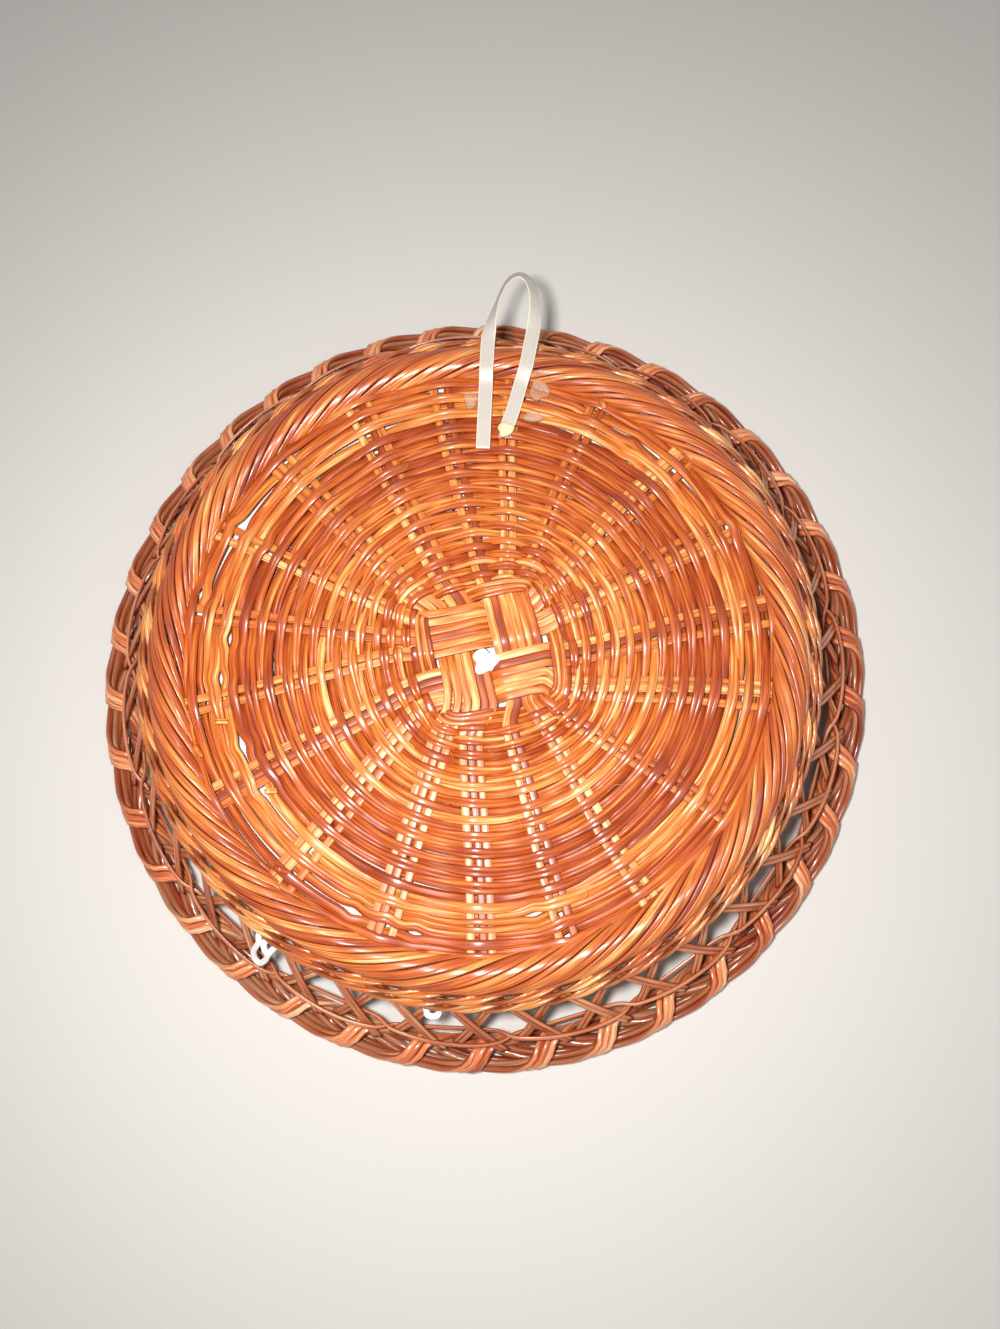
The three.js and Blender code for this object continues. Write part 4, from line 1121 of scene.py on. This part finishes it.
# Lace loops, three picots of the doily's edge. They are crocheted cotton yarn, and they poke out
# through the openwork under the foot border. The points of their routes are in millimetres.
yarn_width = 0.0021
yarn_thickness = 0.0017
loops_of_lace = []
for corners in (
    [(-69, -91, 29), (-72.9, -94.0, 34), (-72.0, -96.1, 33.6), (-75.5, -99.6, 28.0),
     (-76.1, -102.5, 24.0), (-74.4, -104.4, 23.2), (-71.5, -102.9, 27), (-69.3, -100.1, 31.4),
     (-65.6, -97.0, 34.4), (-65, -95, 29)],
    [(-68.9, -93.6, 31), (-70.8, -97.2, 33.6), (-70.6, -99.3, 32.2), (-69.9, -100.4, 31)],
    [(-17, -116, 31), (-16.1, -119.6, 31.7), (-14.4, -120.1, 31.5), (-12.7, -119.7, 31.7),
     (-11.5, -116, 31)],
):
    yarn = soft_route(np.array(corners) / 1000, steps=40, softness=0.05)[None]
    tint = 0.5 + 0 * yarn[..., 0]
    loops_of_lace.append(
        carry_section(yarn, straight_up, yarn_width, yarn_thickness, tint, sides=10)
    )
lace_loops = make_piece("lace_loops", loops_of_lace, lace, "white_lace")
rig.sheet(doily, (2 * doily_radius, 2 * doily_radius), "laid", ["weave_3"],
         area=math.pi * doily_radius**2, with_pieces=[lace_loops])


# Reed ends, five short cut ends of split rattan where one weaver stops and the next starts. They
# stand up a little out of the weave. Each has its radius, its angle, the angle that it points
# outwards from clockwise along the weave, its size and its shade.
end_level = 0.0452
end_width = 0.0019
end_thickness = 0.0010
parts = []
for middle, turn, heading, size, tint in (
    (0.0983, 63.2, -40, 0.0030, 0.72), (0.0965, 229, 20, 0.0036, 0.12),
    (0.0830, 215, 60, 0.0022, 0.85), (0.0890, 196, 80, 0.0022, 0.75),
    (0.0985, 200, 10, 0.0026, 0.7),
):
    turn, heading = math.radians(turn), math.radians(heading + turn - 90)
    foot = np.array([middle * math.cos(turn), middle * math.sin(turn), end_level])
    ahead = np.array([math.cos(heading), math.sin(heading), 0])
    tip = foot + ahead * size * 0.6 + straight_up * 0.0013
    bend = [foot - ahead * size, foot + straight_up * 0.0022, tip]
    route = soft_route(bend, steps=14, softness=0.12)[None]
    parts.append(carry_section(route, straight_up, end_width, end_thickness, [tint], sides=12,
                               square=0.5))
make_piece("reed_ends", parts, spoke_rattan, "pale_reed")


# Stray fibres, 16 hair-thin pale splinters of rattan. They came loose from the reeds and stuck
# in the varnish.
fibre_count = 16
fibre_width = 0.00014
fibre_level = 0.0472
parts = []
for _ in range(fibre_count):
    middle, turn = chance.uniform(0.03, 0.105), chance.uniform(0, 2 * math.pi)
    heading, size = chance.uniform(0, 2 * math.pi), chance.uniform(0.002, 0.0045)
    t = np.linspace(-1, 1, 14)
    x = middle * math.cos(turn) + size * (t * math.cos(heading) - 0.5 * t**2 * math.sin(heading))
    y = middle * math.sin(turn) + size * (t * math.sin(heading) + 0.5 * t**2 * math.cos(heading))
    z = fibre_level + 0.0006 * (1 - t**2)
    route = np.stack([x, y, z], -1)[None]
    parts.append(carry_section(route, straight_up, fibre_width, fibre_width, [0.95], sides=5))
make_piece("stray_fibres", parts, spoke_rattan, "pale_reed")


# Floor and light: a pale floor, a small lamp to the left of the camera that lights the crests of
# the varnish and shades the right side, and a weak soft lamp from the lower right. The world
# around is white where it is seen or mirrored, and sheds only a weak light.
floor_size = 40
floor_material = new_material("floor", Base_Color=linear("#d3cfc9"), Roughness=0.8)[0]
bpy.ops.mesh.primitive_plane_add(size=floor_size)
floor = bpy.context.object
floor.name = "floor"
floor.data.materials.append(floor_material)
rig.stage(floor)


def lamp(name, place, target, size, power):
    """A square soft lamp that faces its target."""
    data = bpy.data.lights.new(name, "AREA")
    data.size = size
    data.energy = power
    lamp_object = bpy.data.objects.new(name, data)
    away = np.array(place) - np.array(target)
    away /= np.linalg.norm(away)
    across = np.cross((0, 1, 0), away)
    across /= np.linalg.norm(across)
    axes = np.stack([across, np.cross(away, across), away, place], 1)
    lamp_object.matrix_world = Matrix([*axes.tolist(), [0, 0, 0, 1]])
    bpy.context.scene.collection.objects.link(lamp_object)


lamp("beside_camera", (-0.024, -0.058, 0.385), (0, 0, 0.04), size=0.036, power=1.95)
lamp("right", (0.40, -0.30, 0.85), (0, 0, 0.02), size=0.50, power=1.2)
world = bpy.data.worlds.new("studio")
world.use_nodes = True
tree = world.node_tree
path = add(tree, "LightPath").outputs
seen = maths(tree, "MAXIMUM", path["Is Camera Ray"], path["Is Transmission Ray"])
seen = maths(tree, "MAXIMUM", seen, path["Is Glossy Ray"])
shade = mixed(tree, seen, (0.20, 0.195, 0.19, 1), (1, 1, 1, 1))
tree.links.new(shade, tree.nodes["Background"].inputs["Color"])
bpy.context.scene.world = world
bpy.context.scene.view_settings.view_transform = "Standard"

with open("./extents.json", "w") as file:
    json.dump(
        {"cad": [list(map(float, c)) for c in cad_box],
         "scene": [list(map(float, c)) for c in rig.bounds()]}, file,
    )
